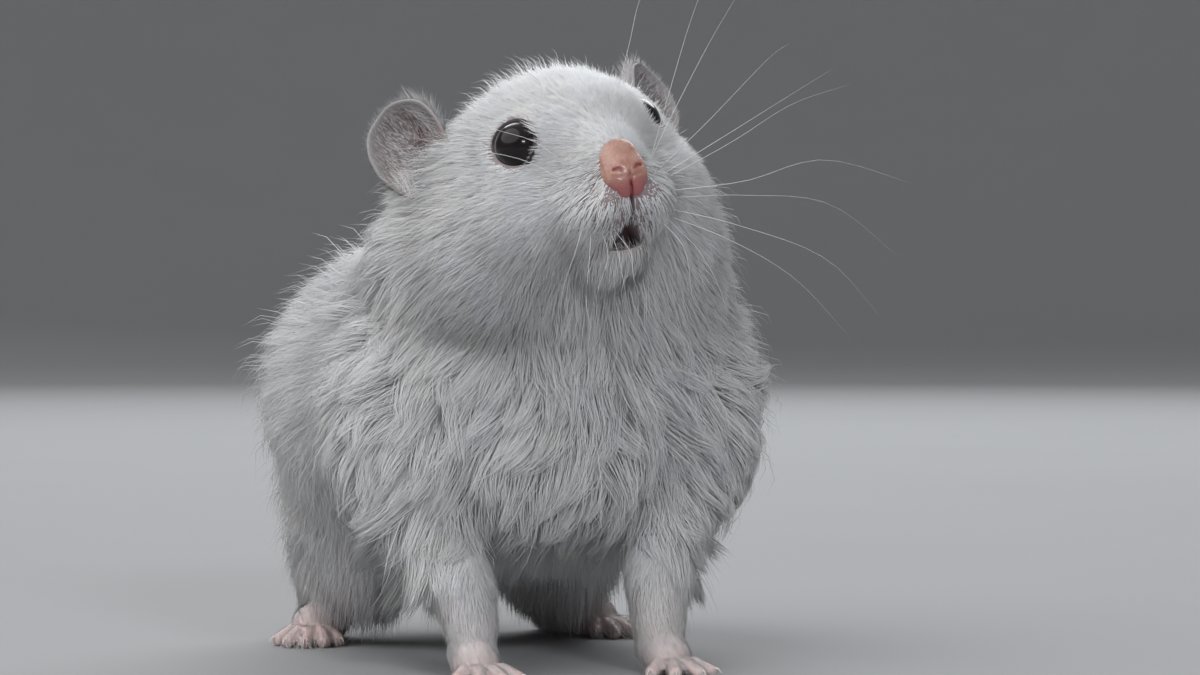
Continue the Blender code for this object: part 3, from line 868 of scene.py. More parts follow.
def crowd_of_hair(points):
    """How thick the hair grows: most on the face and on the short-haired legs."""
    on_head = head_share(points)
    short = smooth_step(3.0, 1.5, coat_sizes(points)[:, 0])
    crowd = 1 + on_head * (0.7 + 2.8 * short) + 0.35 * breast_share(points, on_head)
    crowd = crowd - 0.25 * (1 - on_head) * smooth_step(15, 30, points[:, 1])
    crowd = crowd + 1.6 * smooth_step(14, 8, points[:, 2]) * smooth_step(-4, -8, points[:, 1])
    crowd = crowd + 1.2 * smooth_step(12, 7, points[:, 2]) * smooth_step(24, 29, points[:, 1])
    crowd = crowd * (1 - 0.64 * muzzle_shade(points))
    return np.where(is_bare(points), 0, crowd)


def turned_about(vectors, axes, angles):
    """Each vector turned about its axis."""
    c, s = np.cos(angles)[:, None], np.sin(angles)[:, None]
    along = axes * (axes * vectors).sum(axis=1, keepdims=True)
    return vectors * c + np.cross(axes, vectors) * s + along * (1 - c)


OFF_FLOOR = 0.08  # the least height of a hair


def hair_paths(roots, normals, ways, lengths, rise, curl, hang, steps):
    """Points down each hair: it rises at a slant, lies along the skin or hangs free, and curls aside."""
    flat = unit(ways - normals * ((ways * normals).sum(axis=1) * (1 - hang))[:, None])
    level = skin_distance(roots)
    aside = np.cross(normals, flat)
    reach = np.sqrt(np.maximum(lengths**2 - rise**2, (0.3 * lengths) ** 2))
    paths = [roots]
    for s in steps[1:]:
        at = roots + flat * (reach * s)[:, None] + aside * (reach * curl * s**2)[:, None]
        drift = np.clip(skin_distance(at) - level, -0.6 * lengths, 0.6 * lengths * (1 - hang))
        height = rise * (1 - (1 - s) ** 2) - drift
        paths.append(at + normals * height[:, None])
    paths = np.stack(paths, axis=1)
    paths[:, :, 2] = np.maximum(paths[:, :, 2], OFF_FLOOR)
    return paths


def locks_of(roots, spacing):
    """The leading hair of each hair's lock: leaders stand about the spacing apart."""
    taken, leaders = {}, []
    for i in rng.permutation(len(roots)):
        cell = tuple((roots[i] / spacing[i]).astype(int))
        if cell not in taken:
            taken[cell] = i
            leaders.append(i)
    tree = kdtree.KDTree(len(leaders))
    for number, i in enumerate(leaders):
        tree.insert(roots[i], number)
    tree.balance()
    leaders = np.array(leaders)
    wobble = rng.normal(0, 0.13, (len(roots), 3)) * spacing[:, None]
    return leaders[[tree.find(place)[1] for place in roots + wobble]]


def draw_together(paths, lead, strength, steps):
    """Draws the hairs of a lock towards its leading hair, the more the nearer to their tips."""
    shared = paths[lead]
    for j, s in enumerate(steps):
        paths[:, j] += (strength * s**1.2)[:, None] * (shared[:, j] - paths[:, j])


def keep_off_eyes(paths):
    clear = EYE_RADIUS + CORNEA_RISE
    for middle in EYE_PLACES.values():
        away = paths - middle
        length = np.linalg.norm(away, axis=-1, keepdims=True)
        paths = np.where(length < clear, middle + away / np.maximum(length, 1e-6) * clear, paths)
    return paths


SOFTNESS = 0.8  # how far a hair is shaded like the body under it
PATCH_WIDTH, PATCH_LENGTH = 0.0012, 0.003  # of each hair on the map


def hair_mesh(name, paths, normals, widths, steps, spots, shade, bare):
    """Closed three-sided hairs, tapered to a point, as one mesh."""
    count, rings = len(paths), len(steps) - 1
    tangent = unit(np.gradient(paths, axis=1))
    side = unit(np.cross(tangent, normals[:, None, :]))
    up = np.cross(tangent, side)
    taper = np.array([1 - 0.72 * s**1.4 for s in steps])
    points = np.empty((count, rings * 3 + 1, 3))
    facing = np.empty_like(points)
    facing[:, -1] = normals
    for j in range(rings):
        radius = (widths * taper[j] / 2)[:, None]
        for k in range(3):
            angle = math.radians(90 + 120 * k)
            around = side[:, j] * math.cos(angle) + up[:, j] * math.sin(angle) * 0.8
            points[:, j * 3 + k] = paths[:, j] + around * radius
            facing[:, j * 3 + k] = unit(around * (1 - SOFTNESS) + normals * SOFTNESS)
    points[:, -1] = paths[:, -1]
    faces = [(0, 2, 1)]
    for j in range(rings - 1):
        for k in range(3):
            a, b = j * 3 + k, j * 3 + (k + 1) % 3
            faces += [(a, b, b + 3), (a, b + 3, a + 3)]
    top = (rings - 1) * 3
    faces += [(top + k, top + (k + 1) % 3, rings * 3) for k in range(3)]
    faces = np.array(faces)
    per = rings * 3 + 1
    loops = (faces[None] + (np.arange(count) * per)[:, None, None]).reshape(-1)
    mesh = bpy.data.meshes.new(name)
    mesh.vertices.add(count * per)
    mesh.vertices.foreach_set("co", placed(points.reshape(-1, 3)).ravel())
    mesh.loops.add(len(loops))
    mesh.loops.foreach_set("vertex_index", loops.astype(np.int32))
    mesh.polygons.add(len(loops) // 3)
    mesh.polygons.foreach_set("loop_start", np.arange(0, len(loops), 3, dtype=np.int32))
    mesh.update(calc_edges=True)
    patch = np.empty((per, 2))
    thirds = np.cos(np.radians(120 * (np.arange(per) % 3)))
    patch[:, 0] = PATCH_WIDTH * thirds * (1 - np.arange(per) / per)
    patch[:, 1] = PATCH_LENGTH * (np.arange(per) / (per - 1) - 0.5)
    uv = np.clip(spots[:, None, :] + patch[None], 0, 1).reshape(-1, 2)
    mesh.uv_layers.new(name="OFBake").data.foreach_set("uv", uv[loops].ravel())
    along = np.array([steps[min(i // 3, rings)] if i < per - 1 else 1.0 for i in range(per)])
    value_on(mesh, "along", np.tile(np.minimum(along * 1.6, 1), count))
    value_on(mesh, "shade", np.repeat(shade, per))
    value_on(mesh, "bareness", np.repeat(bare, per))
    piece = linked(name, mesh, COAT_FINISH)
    mesh.normals_split_custom_set_from_vertices(facing.reshape(-1, 3))
    return ride(piece, "white_coat")


def sway(points):
    """A slow wandering of the lie over the body, in radians."""
    x, y, z = points.T
    return 0.5 * np.sin(0.62 * x + 0.25 * z + 1.3) + 0.5 * np.sin(0.55 * z - 0.3 * x + 0.4 * y)


def mouth_trim(points):
    """How much of the hair's length is left round the mouth, which it doesn't grow across."""
    x, y, z = to_head(points).T
    away = np.hypot(np.maximum(np.abs(x) - 1.2, 0), np.maximum(np.abs(z + 7.9) - 1.4, 0))
    near = np.where(y < -8, away, FAR)
    return 0.35 + 0.65 * np.maximum(smooth_step(0.0, 1.5, near), smooth_step(-9.0, -9.4, z))


def grow_coat(name, count, steps, crowd):
    """One region of the coat: strews roots, lays hairs, gathers them in locks, splits them in pieces."""
    roots, normals, spots = sample_roots(count, crowd)
    lengths, depth = coat_sizes(roots).T
    on_head = head_share(roots)
    breast = breast_share(roots, on_head)
    muzzle = muzzle_shade(roots)
    on_body = 1 - on_head
    short = smooth_step(3.0, 1.2, lengths)
    ears = near_ears(roots)
    crown = crown_share(roots)

    # Locks within locks, and the turn that the hairs of a lock share
    big = locks_of(roots, 0.9 + 0.7 * on_body * (1 - short) + 0.9 * breast)
    small = locks_of(roots, 0.4 + 0.25 * on_body * (1 - short))
    lock_turn, lock_size = rng.normal(0, 1, count)[big], rng.normal(0, 1, count)[big]
    turn = rng.normal(0, 0.12, count) + lock_turn * (0.07 + 0.08 * breast)
    turn += sway(roots) * (0.06 + 0.06 * on_body + 0.16 * breast)

    # Strays are longer, thinner and stand out; the rise is how far a tip stands off the skin
    stray = rng.random(count) < (0.05 + 0.1 * crown) * (1 - short)
    stray |= rng.random(count) < 0.012 * short * on_head
    lengths = lengths * rng.normal(1, 0.13, count).clip(0.6, 1.4) * (1 + 0.13 * lock_size).clip(0.7, 1.3)
    lengths = (lengths + 1.0 * ears + 0.6 * muzzle) * np.where(stray, 1.3, 1) * mouth_trim(roots)
    rise = depth * rng.normal(0.95, 0.2, count).clip(0.4, 1.5) * (1 + 0.12 * lock_size)
    rise = rise * np.where(stray, 1.7, 1) * (1 + 1.3 * ears + 0.8 * crown)
    rise = np.minimum(rise, lengths * 0.85)

    # Curled most on the breast, and hanging free low on the body
    ways = turned_about(coat_way(roots), normals, turn)
    curl = rng.normal(0, 0.08, count) + rng.normal(0, 0.2, count)[big] * (0.12 + 0.88 * breast) * on_body
    hang = 0.75 * on_body * (1 - short) * smooth_step(19, 11, roots[:, 2])
    paths = hair_paths(roots, normals, ways, lengths, rise, curl, hang, steps)
    loose = np.where(stray, 0.25, 1)
    draw_together(paths, small, (0.2 + 0.16 * breast + 0.32 * muzzle) * loose, steps)
    draw_together(paths, big, (0.1 + 0.04 * on_body + 0.54 * breast + 0.3 * muzzle) * loose, steps)
    paths = keep_off_eyes(paths)
    shade = np.clip(0.4 * rng.random(count)[big] + 0.6 * rng.random(count), 0, 1)
    bare = (0.25 + 0.1 * smooth_step(14, 10, roots[:, 2])) * bareness(roots)
    widths = (0.037 + 0.0075 * lengths + 0.05 * muzzle) * rng.uniform(0.75, 1.2, count)
    widths = widths * np.where(stray, 0.7, 1)

    # Pieces from front to back, each within the limit
    hair_triangles = 6 * (len(steps) - 2) + 4
    parts = math.ceil(count * hair_triangles / PIECE_TRIANGLES)
    order = np.argsort(roots[:, 1], kind="stable")
    for number, members in enumerate(np.array_split(order, parts), 1):
        hair_mesh(
            f"{name}_{number}", paths[members], normals[members], widths[members], steps,
            spots[members], shade[members], bare[members],
        )


def is_front(points):
    return (head_share(points) <= 0.5) & (points[:, 1] < 3) & (points[:, 2] > 10)


def is_short(points):
    return coat_sizes(points)[:, 0] < 1.9


def is_head(points):
    return head_share(points) > 0.5


COAT_REGIONS = {
    "coat_face": ((0, 1), is_short),
    "coat_head": ((0, 0.5, 1), lambda p: is_head(p) & ~is_short(p)),
    "coat_breast": ((0, 0.33, 0.67, 1), lambda p: is_front(p) & ~is_short(p)),
    "coat_body": ((0, 0.5, 1), lambda p: ~is_head(p) & ~is_front(p) & ~is_short(p)),
}
HAIRS, EAR_HAIRS = 136500, 6000  # on the body, and on each ear
hair_share = 1.0
triangles = skin_points[tri_corners]
tri_middles = triangles.mean(axis=1)
tri_crowd = crowd_of_hair(tri_middles) * (np.linalg.norm(square_to(triangles), axis=1) / 2)
for name, (steps, pick) in COAT_REGIONS.items():
    crowd = tri_crowd * pick(tri_middles)
    grow_coat(name, int(HAIRS * hair_share * crowd.sum() / tri_crowd.sum()), steps, crowd)


# ---------------------------------------------------------------- eyes and lids
def eye_axes(side):
    """The way the eye looks, square to the head's surface there, and the ways across and up."""
    axis = unit(slope_of(coat_surface, EYE_PLACES[side][None]))[0]
    across = unit(np.cross((0.0, 0.0, 1.0), axis))
    return axis, across, np.cross(axis, across)


def eye_way(axes, turn, angle):
    """The way that turns off the eye's axis, towards the angle round it."""
    axis, across, up = axes
    return axis * math.cos(turn) + (across * math.cos(angle) + up * math.sin(angle)) * math.sin(turn)


EYE_FINISH = blotched_finish(
    "eye_dark", 0.2, (900, 3), (0.010, 0.009, 0.012), (0.022, 0.015, 0.013),
    {"iris": (0.020, 0.015, 0.014)},
    Specular_IOR_Level=0.1, Coat_Weight=1.0, Coat_Roughness=0.06, Coat_IOR=1.27,
)
LID_FINISH = blotched_finish(
    "lid_skin", 0.45, (1500, 3), (0.22, 0.16, 0.165), (0.34, 0.26, 0.26),
    {"rim": (0.03, 0.022, 0.024)}, grain=(0.4, 0.03),
)


def make_eye(name, side, finish):
    """A ball with a slight swelling in front and a ring round the iris."""
    middle, axes = EYE_PLACES[side], eye_axes(side)
    rows, columns = 36, 64
    points, ring = [middle + axes[0] * (EYE_RADIUS + CORNEA_RISE)], [0]
    for i in range(1, rows):
        turn = math.pi * i / rows
        bulge = CORNEA_RISE * math.exp(-((turn / 0.75) ** 4))
        for k in range(columns):
            way = eye_way(axes, turn, math.tau * k / columns)
            points.append(middle + way * (EYE_RADIUS + bulge))
            ring.append(math.exp(-(((turn - 0.85) / 0.16) ** 2)))
    points.append(middle - axes[0] * EYE_RADIUS)
    ring.append(0)
    faces = fan_faces(0, 1, columns) + ring_faces(1, rows - 1, columns)
    faces += fan_faces(len(points) - 1, 1 + (rows - 2) * columns, columns)
    mesh = mesh_of(f"eye_{name}_glossy", points, faces)
    value_on(mesh, "iris", ring)
    ride(linked(f"eye_{name}_glossy", mesh, finish), "eye_gloss", f"eye_{name}")


def make_lids(name, side, finish):
    """A dark rim round the eye that rolls over onto the skin."""
    middle, axes = EYE_PLACES[side], eye_axes(side)
    # (angle out from the opening's edge, distance past the eye's radius, darkness)
    profile = [
        (-2, 0.02, 1), (0, 0.14, 1), (3, 0.24, 1), (6, 0.24, 0.9),
        (10, 0.12, 0.6), (15, -0.3, 0.2), (8, -0.5, 0.5), (2, -0.25, 1),
    ]
    spokes = 72
    points, rim = [], []
    for k in range(spokes):
        # The opening is a tilted oval, drawn out at one corner
        angle = math.tau * k / spokes
        tilt = angle - math.radians(18 * side)
        corner = math.exp(-((math.cos(tilt - math.radians(215)) - 1) / 0.05) ** 2)
        half = 59 + 4.0 * math.cos(2 * tilt + math.pi) + 2.0 * corner + 0.5 * math.sin(5 * angle)
        for out, high, dark in profile:
            way = eye_way(axes, math.radians(half + out), angle)
            points.append(middle + way * (EYE_RADIUS + high))
            rim.append(dark * (1 - 0.5 * corner))
    size = len(profile)
    faces = []
    for k in range(spokes):
        for i in range(size):
            j, after = (i + 1) % size, (k + 1) % spokes
            faces.append((k * size + i, after * size + i, after * size + j, k * size + j))
    mesh = mesh_of(f"eyelid_{name}", points, faces)
    value_on(mesh, "rim", rim)
    ride(linked(f"eyelid_{name}", mesh, finish), "nose_skin")


for name, side in SIDES.items():
    make_eye(name, side, EYE_FINISH)
    make_lids(name, side, LID_FINISH)

# ---------------------------------------------------------------- ears
EAR_RADIUS, EAR_CUP, EAR_FACING, EAR_LEAN = 4.1, 2.0, 38, 24
EAR_MIDDLES = {-1: (12.8, 6.2, 8.3), 1: (12.8, 6.2, 7.5)}
EAR_WALL, EAR_HAIR_ROOT = 0.30, 0.27  # from the middle of the sheet out to its face and to its hair


def ear_place(side):
    facing = Matrix.Rotation(math.radians(EAR_FACING * side), 3, "Z")
    lean = Matrix.Rotation(math.radians(EAR_LEAN * side), 3, "Y")
    middle = from_head(mirrored(EAR_MIDDLES[side], side))
    return middle, HEAD_AXES @ np.array(facing @ lean)


def ear_points(side, reach, angle):
    """Points of the ear's sheet in its own frame, for reach 0..1 out from the middle."""
    across, up = np.cos(angle), np.sin(angle)
    low = np.maximum(0, -up)
    edge = 1 + 0.018 * np.sin(3 * angle + side) + 0.012 * np.sin(7 * angle + 2 * side)
    radius = EAR_RADIUS * reach * (1 + (edge - 1) * reach)
    outer = np.maximum(0, across * side)
    x = radius * across * (1 - 0.3 * low**2 + 0.5 * low * outer)
    z = radius * up * (1 + 0.95 * low + 0.4 * low * outer)
    y = EAR_CUP * (0.5 - reach**2 * (0.75 + 0.45 * across**2))
    roll = 0.35 * smooth_step(0.86, 1.0, reach) * (1 - low)
    folds = 0.28 * low * smooth_step(0.15, 0.7, reach) * np.cos(angle * 9)
    return np.stack([x, y - roll + folds, z], axis=-1)


# Grey ear leather: painted shade in the hollow near the head, a paler rim painted as a highlight where
# light catches the edge, pink folds at the foot
EAR_FINISH = blotched_finish(
    "ear_leather", 0.55, (700, 4), (0.17, 0.142, 0.145), (0.26, 0.222, 0.222),
    {"shade_in_hollows": (0.13, 0.065, 0.06), "rim": (0.42, 0.39, 0.385), "fold": (0.55, 0.40, 0.385)},
    grain=(0.6, 0.05), Subsurface_Weight=0.25, Subsurface_Radius=(0.9 * MM, 0.45 * MM, 0.35 * MM),
)


def make_ear(name, side, finish):
    """A cupped sheet with a front and a back, joined at its edge."""
    rings, spokes = 16, 72
    middle, axes = ear_place(side)
    angles = np.tile(np.arange(spokes) * math.tau / spokes, rings)
    reaches = np.repeat(np.arange(1, rings + 1) / rings, spokes)
    sheet = np.vstack([ear_points(side, np.zeros(1), np.zeros(1)), ear_points(side, reaches, angles)])
    step = 0.02
    inside = np.minimum(reaches, 0.999)
    nudge = ear_points(side, inside + step, angles) - ear_points(side, inside, angles)
    swing = ear_points(side, reaches, angles + step) - sheet[1:]
    face = unit(np.cross(nudge, swing))
    face = np.vstack([(0, 1, 0), face * np.sign(face[:, 1:2] + 1e-9)])
    wall = np.concatenate([[EAR_WALL], EAR_WALL - 0.12 * reaches**3])[:, None]
    front, back = sheet - face * wall, sheet + face * wall
    points = np.vstack([front, back]) @ axes.T + middle
    size, edge = len(sheet), 1 + (rings - 1) * spokes
    shell = fan_faces(0, 1, spokes) + ring_faces(1, rings, spokes)
    faces = shell + [tuple(size + i for i in reversed(face)) for face in shell]
    for k in range(spokes):
        after = (k + 1) % spokes
        faces.append((edge + k, size + edge + k, size + edge + after, edge + after))
    mesh = mesh_of(f"ear_{name}_leather", points, faces)
    low = np.maximum(0, -np.sin(angles))
    # painted highlight along the ear's upper rim
    rim = np.concatenate([[0], smooth_step(0.8, 1.0, reaches) * (1 - low)])
    inner = smooth_step(0.5, -0.2, np.cos(angles) * side)
    foot = np.clip(low * smooth_step(0.2, 0.8, reaches), 0, 1)
    fold = np.concatenate([[0], foot * (0.3 + 0.7 * inner)])
    # painted shade in the ear's hollow near the head, on the front face only
    shade_in_hollows = hump((sheet[:, 0] + 1.7 * side) / 1.7, (sheet[:, 2] + 0.8) / 2.6)
    value_on(mesh, "shade_in_hollows", np.concatenate([shade_in_hollows, 0 * shade_in_hollows]))
    value_on(mesh, "rim", np.tile(rim, 2))
    value_on(mesh, "fold", np.tile(fold, 2))
    piece = linked(f"ear_{name}_leather", mesh, finish)
    add_modifier(piece, "SUBSURF", levels=1, render_levels=1)
    baked(piece).shade_smooth()
    ride(piece, "ear_skin", f"ear_{name}")


def grow_ear_hair(name, side, count):
    """Fine hair on both faces of the ear, thicker on its back and round its foot."""
    middle, axes = ear_place(side)
    reach = np.sqrt(rng.random(count)) * 0.98
    angle = rng.random(count) * math.tau
    at_foot = rng.random(count) < 0.4
    angle = np.where(at_foot, -math.pi / 2 + rng.normal(0.55 * side, 0.5, count), angle)
    layer = np.where(rng.random(count) < 0.68, 1.0, -1.0)
    foot = smooth_step(0.1, 0.9, np.maximum(0, -np.sin(angle)) * reach)
    foot = np.maximum(foot, 0.7 * smooth_step(0.35, 0.9, -np.cos(angle) * side * reach))
    sheet = ear_points(side, reach, angle)
    inside = np.minimum(reach, 0.97)
    out = unit(ear_points(side, inside + 0.03, angle) - ear_points(side, inside, angle))
    swing = ear_points(side, reach, angle + 0.02) - sheet
    face = unit(np.cross(out, swing))
    face = face * np.sign(face[:, 1:2] + 1e-9) * layer[:, None]
    wall = EAR_HAIR_ROOT - 0.12 * reach**3
    upward = unit(np.array((0, 0, 1.0)) - face * face[:, 2:3])
    way = unit((0.5 - 0.9 * foot)[:, None] * out + 0.7 * upward + rng.normal(0, 0.18, (count, 3)))
    length = (0.7 + 1.9 * foot) * rng.uniform(0.7, 1.25, count) * np.where(layer > 0, 1, 0.85)
    steps = (0, 1)
    roots = sheet + face * wall[:, None]
    tips = [roots + (way * s + face * 0.42 * (1 - (1 - s) ** 2)) * length[:, None] for s in steps]
    paths = np.stack(tips, axis=1) @ axes.T + middle
    spots = np.stack([0.5 + 0.48 * reach * np.cos(angle), 0.5 + 0.48 * reach * np.sin(angle)], axis=1)
    spots[:, 0] = spots[:, 0] * 0.5 + np.where(layer > 0, 0.5, 0)
    widths = rng.uniform(0.035, 0.055, count) * (1 + 0.7 * foot)
    shade, bare = rng.random(count), np.full(count, 0.15)
    hair_mesh(f"ear_{name}_hair", paths, face @ axes.T, widths, steps, spots, shade, bare)


for name, side in SIDES.items():
    make_ear(name, side, EAR_FINISH)
    grow_ear_hair(name, side, int(EAR_HAIRS * hair_share))


# ---------------------------------------------------------------- nose
NOSE_VOXEL = 0.07
# (centre, half sizes) in the head's frame
NOSE_PADS = [
    ((0, -13.4, -0.6), (2.0, 1.5, 1.75)),  # bridge of the nose
    ((0, -14.15, -2.3), (1.9, 1.25, 1.5)),  # tip
]
for side in SIDES["left"], SIDES["right"]:
    NOSE_PADS += [
        ((1.1 * side, -13.4, -1.8), (1.05, 1.3, 1.3)),
        ((1.05 * side, -13.95, -2.9), (1.1, 1.15, 1.2)),  # wing
        ((0.68 * side, -13.85, -4.0), (0.8, 1.05, 1.05)),  # foot, beside the groove
    ]


def nose_distance(points):
    """How far outside the nose, and outside its hollows, each point of the head's frame lies."""
    upright = np.eye(3)
    pads = [ellipsoid_distance(points, np.array(c), np.array(h), upright) for c, h in NOSE_PADS]
    nose = soft_union(pads, 0.3)
    cuts = []
    for side in SIDES.values():
        comma = [
            ((0.5 * side, -15.75, -2.85), 0.1), ((0.66 * side, -15.65, -2.45), 0.2),
            ((1.0 * side, -15.45, -2.15), 0.19), ((1.45 * side, -15.1, -2.2), 0.09),
        ]
        cuts.append(limb_distance(points, comma))
    slot = np.array((0, -15.1, -4.35)), np.array((0.09, 1.15, 1.5)), np.eye(3)
    cuts.append(ellipsoid_distance(points, *slot))
    hollow = soft_union(cuts, 0.05)
    x, z = points[:, 0], points[:, 2]
    crease = 0.08 * hump((z + 3.15 - 0.12 * np.abs(x)) / 0.2) * smooth_step(1.7, 1.0, np.abs(x))
    return -soft_union([-nose, hollow], 0.09) + crease, hollow


# Pinkish leather, redder low down, with painted shade in the nostrils and the groove
NOSE_FINISH = blotched_finish(
    "nose_leather", 0.36, (1100, 4), (0.47, 0.22, 0.17), (0.60, 0.35, 0.27),
    {"low": (0.42, 0.125, 0.125), "shade_in_hollows": (0.30, 0.06, 0.06)}, grain=(0.7, 0.07, 3600.0),
    Subsurface_Weight=0.2, Subsurface_Radius=(0.8 * MM, 0.3 * MM, 0.2 * MM),
    Coat_Weight=0.5, Coat_Roughness=0.2,
)


def make_nose(finish):
    """One mesh over the pads, settled onto the nose's surface."""
    bm = bmesh.new()
    for centre, half in NOSE_PADS:
        add_ball(bm, centre, np.array(half) + 0.12, np.eye(3), 12)
    obj = linked("nose_leather", poured(bm, bpy.data.meshes.new("nose_leather")), finish)
    add_modifier(obj, "REMESH", mode="VOXEL", voxel_size=NOSE_VOXEL, adaptivity=0)
    add_modifier(obj, "SMOOTH", factor=0.5, iterations=3)
    mesh = baked(obj)
    points = corners_of(mesh)
    for _ in range(7):
        here = nose_distance(points)[0]
        slope = slope_of(lambda at: nose_distance(at)[0], points, here, 0.02)
        points -= slope * np.clip(here / np.maximum((slope**2).sum(axis=1), 0.25), -0.25, 0.25)[:, None]
    set_corners(mesh, points)
    add_modifier(obj, "SMOOTH", factor=0.4, iterations=1)
    mesh = baked(obj)
    points = corners_of(mesh)
    # painted shade in the nostrils and the groove under the nose
    shade_in_hollows = 1 - smooth_step(0.0, 0.14, nose_distance(points)[1])
    value_on(mesh, "shade_in_hollows", shade_in_hollows)
    value_on(mesh, "low", smooth_step(-2.6, -4.2, points[:, 2]))
    set_corners(mesh, placed(from_head(points)))
    mesh.shade_smooth()
    ride(obj, "nose_skin", "nose")


make_nose(NOSE_FINISH)


# ---------------------------------------------------------------- whiskers and claws
def tube_through(points, width):
    """A tapered hair along a smooth curve through the points: its corners and faces."""
    sides, steps = 5, 14
    points = np.array(points, float)
    knots = np.vstack([2 * points[0] - points[1], points, 2 * points[-1] - points[-2]])
    line = []
    spans = len(points) - 1
    for i in range(steps + 1):
        at = min(i / steps * spans, spans - 1e-9)
        k, t = int(at), at - int(at)
        a, b, c, d = knots[k : k + 4]
        bend, twist = 2 * a - 5 * b + 4 * c - d, 3 * b - a - 3 * c + d
        line.append(0.5 * (2 * b + (c - a) * t + bend * t**2 + twist * t**3))
    line = np.array(line)
    tangent = unit(np.gradient(line, axis=0))
    across = unit(np.cross(tangent, (0.13, 0.21, 0.97)))
    up = np.cross(tangent, across)
    turns = np.arange(sides) * math.tau / sides
    corners = []
    for i, (p, a, u) in enumerate(zip(line[:-1], across, up)):
        radius = width / 2 * (1 - 0.88 * i / steps)
        corners += [p + radius * (a * math.cos(q) + u * math.sin(q)) for q in turns]
    corners.append(line[-1])
    faces = ring_faces(0, steps, sides) + fan_faces(len(corners) - 1, (steps - 1) * sides, sides)
    return corners, faces + [tuple(reversed(range(sides)))]


def joined_tubes(name, lines, finish, slot):
    points, faces = [], []
    for line, width in lines:
        corners, shell = tube_through(line, width)
        faces += [tuple(i + len(points) for i in face) for face in shell]
        points += corners
    return ride(linked(name, mesh_of(name, points, faces), finish), slot)


# Curves of the whiskers, in the head's frame; the right ones are mirrored when they are made
WHISKERS = {
    "left": [
        [(4.6, -9.8, -2.6), (11, -11, 1.5), (19, -10, 6), (26, -7, 9)],
        [(4.9, -9.4, -3.4), (13, -10.5, -1.5), (22, -9, 1.5), (31, -5, 3)],
        [(4.8, -9.6, -3.0), (13, -11, -0.5), (21, -10, 2.5), (29, -7, 4.5)],
        [(4.7, -9.8, -4.3), (13, -12, -5), (23, -12, -5), (33, -8, -8)],
        [(5.0, -9.0, -4.8), (14, -9.5, -6.5), (24, -7, -9), (33, -2, -15)],
        [(4.6, -9.3, -5.6), (12, -11, -9), (20, -10.5, -14), (27, -7, -22)],
        [(4.4, -9.4, -6.2), (10, -11, -10.5), (16, -10.5, -16), (21, -8, -23)],
        [(4.0, -10.4, -2.2), (8, -13, 5), (12, -13, 12), (17, -10, 18)],
        [(4.3, -9.6, -1.8), (9, -11, 4), (15, -10, 10), (22, -6, 15)],
        [(5.0, -6.5, 7.0), (6.5, -9, 11), (9, -8.5, 15), (13, -5, 18)],
        [(3.6, -10.8, -6.0), (5.5, -12.5, -11), (7, -12, -15), (8, -10, -19)],
        [(3.0, -11.2, -6.4), (4.3, -13, -11), (5.2, -12.5, -15), (5.8, -11, -19)],
    ],
    "right": [
        [(4.9, -9.4, -3.4), (9, -9.5, -2.5), (13, -7, -1), (16, -3, 0)],
        [(4.0, -10.4, -2.2), (8, -9.5, 1.5), (13, -5, 5), (18, 1, 8)],
        [(3.2, -10.8, -1.6), (6.0, -10.2, 2.5), (8.6, -8.0, 5.5), (11, -4.5, 8)],
        [(3.2, -7.3, 6.6), (3.6, -7.6, 8.6), (4.3, -7.0, 10.4), (5.2, -5.5, 12.0)],
        [(4.0, -10.6, -5.9), (6.5, -12.6, -9), (8.6, -12.4, -12.5), (9.8, -11, -17)],
        [(3.4, -11.0, -6.2), (5.2, -13.0, -9.5), (6.6, -12.8, -14), (7.0, -11.2, -18.5)],
        [(2.8, -11.4, -6.7), (4.2, -13.5, -10), (5.0, -13.2, -14), (5.0, -12, -18)],
        [(2.3, -11.8, -7.0), (3.1, -13.9, -10), (3.6, -13.8, -14), (3.2, -12.6, -19)],
        [(1.8, -12.1, -7.3), (2.2, -14.0, -10), (2.3, -14.2, -13), (1.6, -13.4, -17)],
    ],
}


WHISKER_WIDTHS, CLAW_WIDTH = (0.055, 0.08), 0.42
WHISKER_FINISH = blotched_finish(
    "whisker_hair", 0.3, (300, 2), (0.78, 0.77, 0.76), (0.93, 0.92, 0.91), crisp=False
)
CLAW_FINISH = blotched_finish(
    "claw_horn", 0.35, (900, 2), (0.80, 0.70, 0.66), (0.88, 0.82, 0.79), crisp=False
)


def make_whiskers(name, side, finish):
    lines = []
    for curve in WHISKERS[name]:
        bend = rng.normal(0, 0.5, (len(curve), 3)) * np.arange(len(curve))[:, None] / 2
        line = from_head([mirrored(p, side) for p in curve] + bend)
        lines.append((line, rng.uniform(*WHISKER_WIDTHS)))
    joined_tubes(f"whiskers_{name}", lines, finish, "white_coat")


def make_claws(finish):
    lines = []
    for foot in (FOREFOOT, HINDFOOT):
        for side in SIDES.values():
            for limb in foot_limbs(foot, side)[1:]:
                (knuckle, _), (tip, radius) = limb[1:]
                out = unit((tip - knuckle) * (1, 1, 0))
                start = tip + out * radius * 0.55 + np.array((0, 0, 0.18))
                curve = [start, start + out * 0.45 + (0, 0, 0.1), start + out * 0.95 + (0, 0, -0.35)]
                lines.append((curve, CLAW_WIDTH))
    joined_tubes("claws", lines, finish, "foot_skin")


for name, side in SIDES.items():
    make_whiskers(name, side, WHISKER_FINISH)
make_claws(CLAW_FINISH)

FLESH_NODES = ["head", "lower_jaw", "neck", "trunk", "tail"] + [
    f"{part}_{name}" for part in ("foreleg", "hindleg", "forefoot", "hindfoot") for name in SIDES
]
ride(skin, "white_coat", *FLESH_NODES)


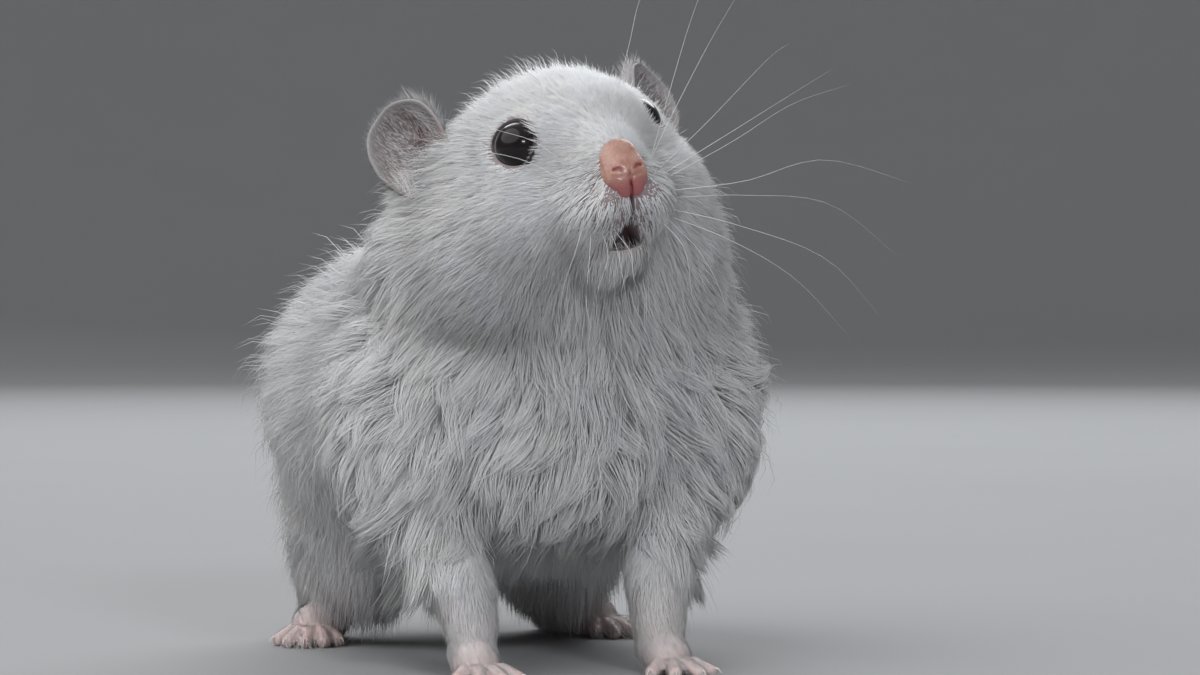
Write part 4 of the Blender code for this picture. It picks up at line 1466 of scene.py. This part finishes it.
# ---------------------------------------------------------------- floor, light and camera
def make_stage():
    """A pale floor that curves up into a wall all round."""
    flat, bend, top = 1.3, 0.9, 2.2  # metres: the flat floor, the bend's radius, the wall's height
    spokes = 96
    profile = [(r, 0.0) for r in (0.001, 0.05, 0.1, 0.2, 0.4, 0.8, flat)]
    turns = np.linspace(0, math.pi / 2, 14)[1:]
    profile += [(flat + bend * math.sin(a), bend - bend * math.cos(a)) for a in turns]
    profile.append((flat + bend, top))
    points = [(0, 0, 0)]
    for r, z in profile:
        points += [(r * math.cos(a), r * math.sin(a), z) for a in np.arange(spokes) * math.tau / spokes]
    mesh = bpy.data.meshes.new("floor")
    mesh.from_pydata(points, [], fan_faces(0, 1, spokes) + ring_faces(1, len(profile), spokes))
    finish = blotched_finish(
        "pale_floor", 0.85, (12, 3), (0.35, 0.35, 0.355), (0.37, 0.37, 0.375), crisp=False
    )
    linked("floor", mesh, finish)


LIGHT_AIM = Vector((0, 0, 0.035))


def softbox(name, place, size, power, tint):
    lamp = bpy.data.lights.new(name, "AREA")
    lamp.shape, lamp.size, lamp.size_y, lamp.energy, lamp.color = "ELLIPSE", *size, power, tint
    obj = bpy.data.objects.new(name, lamp)
    bpy.context.scene.collection.objects.link(obj)
    obj.location = place
    obj.rotation_euler = (LIGHT_AIM - Vector(place)).to_track_quat("-Z", "Y").to_euler()


# The camera stands to the animal's right and looks a little down
VIEW_TURN, VIEW_DIP = math.radians(18), math.radians(0.53)
VIEW_DISTANCE, VIEW_HEIGHT, VIEW_SHIFT = 350, 37, 3.4
LOOK = np.array((math.sin(VIEW_TURN), math.cos(VIEW_TURN), 0))
RIGHT = np.array((math.cos(VIEW_TURN), -math.sin(VIEW_TURN), 0))


def from_view(right, toward, up):
    """A place given from the camera's side, in metres: right, towards the camera, up."""
    return tuple(right * RIGHT - toward * LOOK + np.array((0, 0, up)))


make_stage()
softbox("key_softbox", from_view(-0.68, 0.42, 0.90), (2.0, 1.5), 12.0, tint=(0.98, 0.99, 1.0))
softbox("eye_softbox", from_view(0.30, 0.80, 0.40), (0.22, 0.10), 2.2, tint=(0.93, 0.97, 1.0))
softbox("rim_softbox", from_view(0.1, -0.85, 0.75), (1.2, 0.8), 8.0, tint=(0.95, 0.98, 1.0))
bpy.context.scene.view_settings.view_transform = "Standard"

world = bpy.data.worlds.new("studio")
bpy.context.scene.world = world
world.use_nodes = True
world.node_tree.nodes["Background"].inputs["Color"].default_value = (0.62, 0.64, 0.67, 1)
world.node_tree.nodes["Background"].inputs["Strength"].default_value = 0.52

camera_data = bpy.data.cameras.new("camera")
camera_data.lens, camera_data.sensor_width = 105, 36
camera_data.clip_start, camera_data.clip_end = 0.01, 20
camera = bpy.data.objects.new("camera", camera_data)
bpy.context.scene.collection.objects.link(camera)
bpy.context.scene.camera = camera
stand = np.array((0, -13.0, 0)) + RIGHT * VIEW_SHIFT - LOOK * VIEW_DISTANCE
stand[2] = VIEW_HEIGHT
camera.location = placed(stand)
camera.rotation_euler = (math.pi / 2 - VIEW_DIP, 0, -VIEW_TURN)
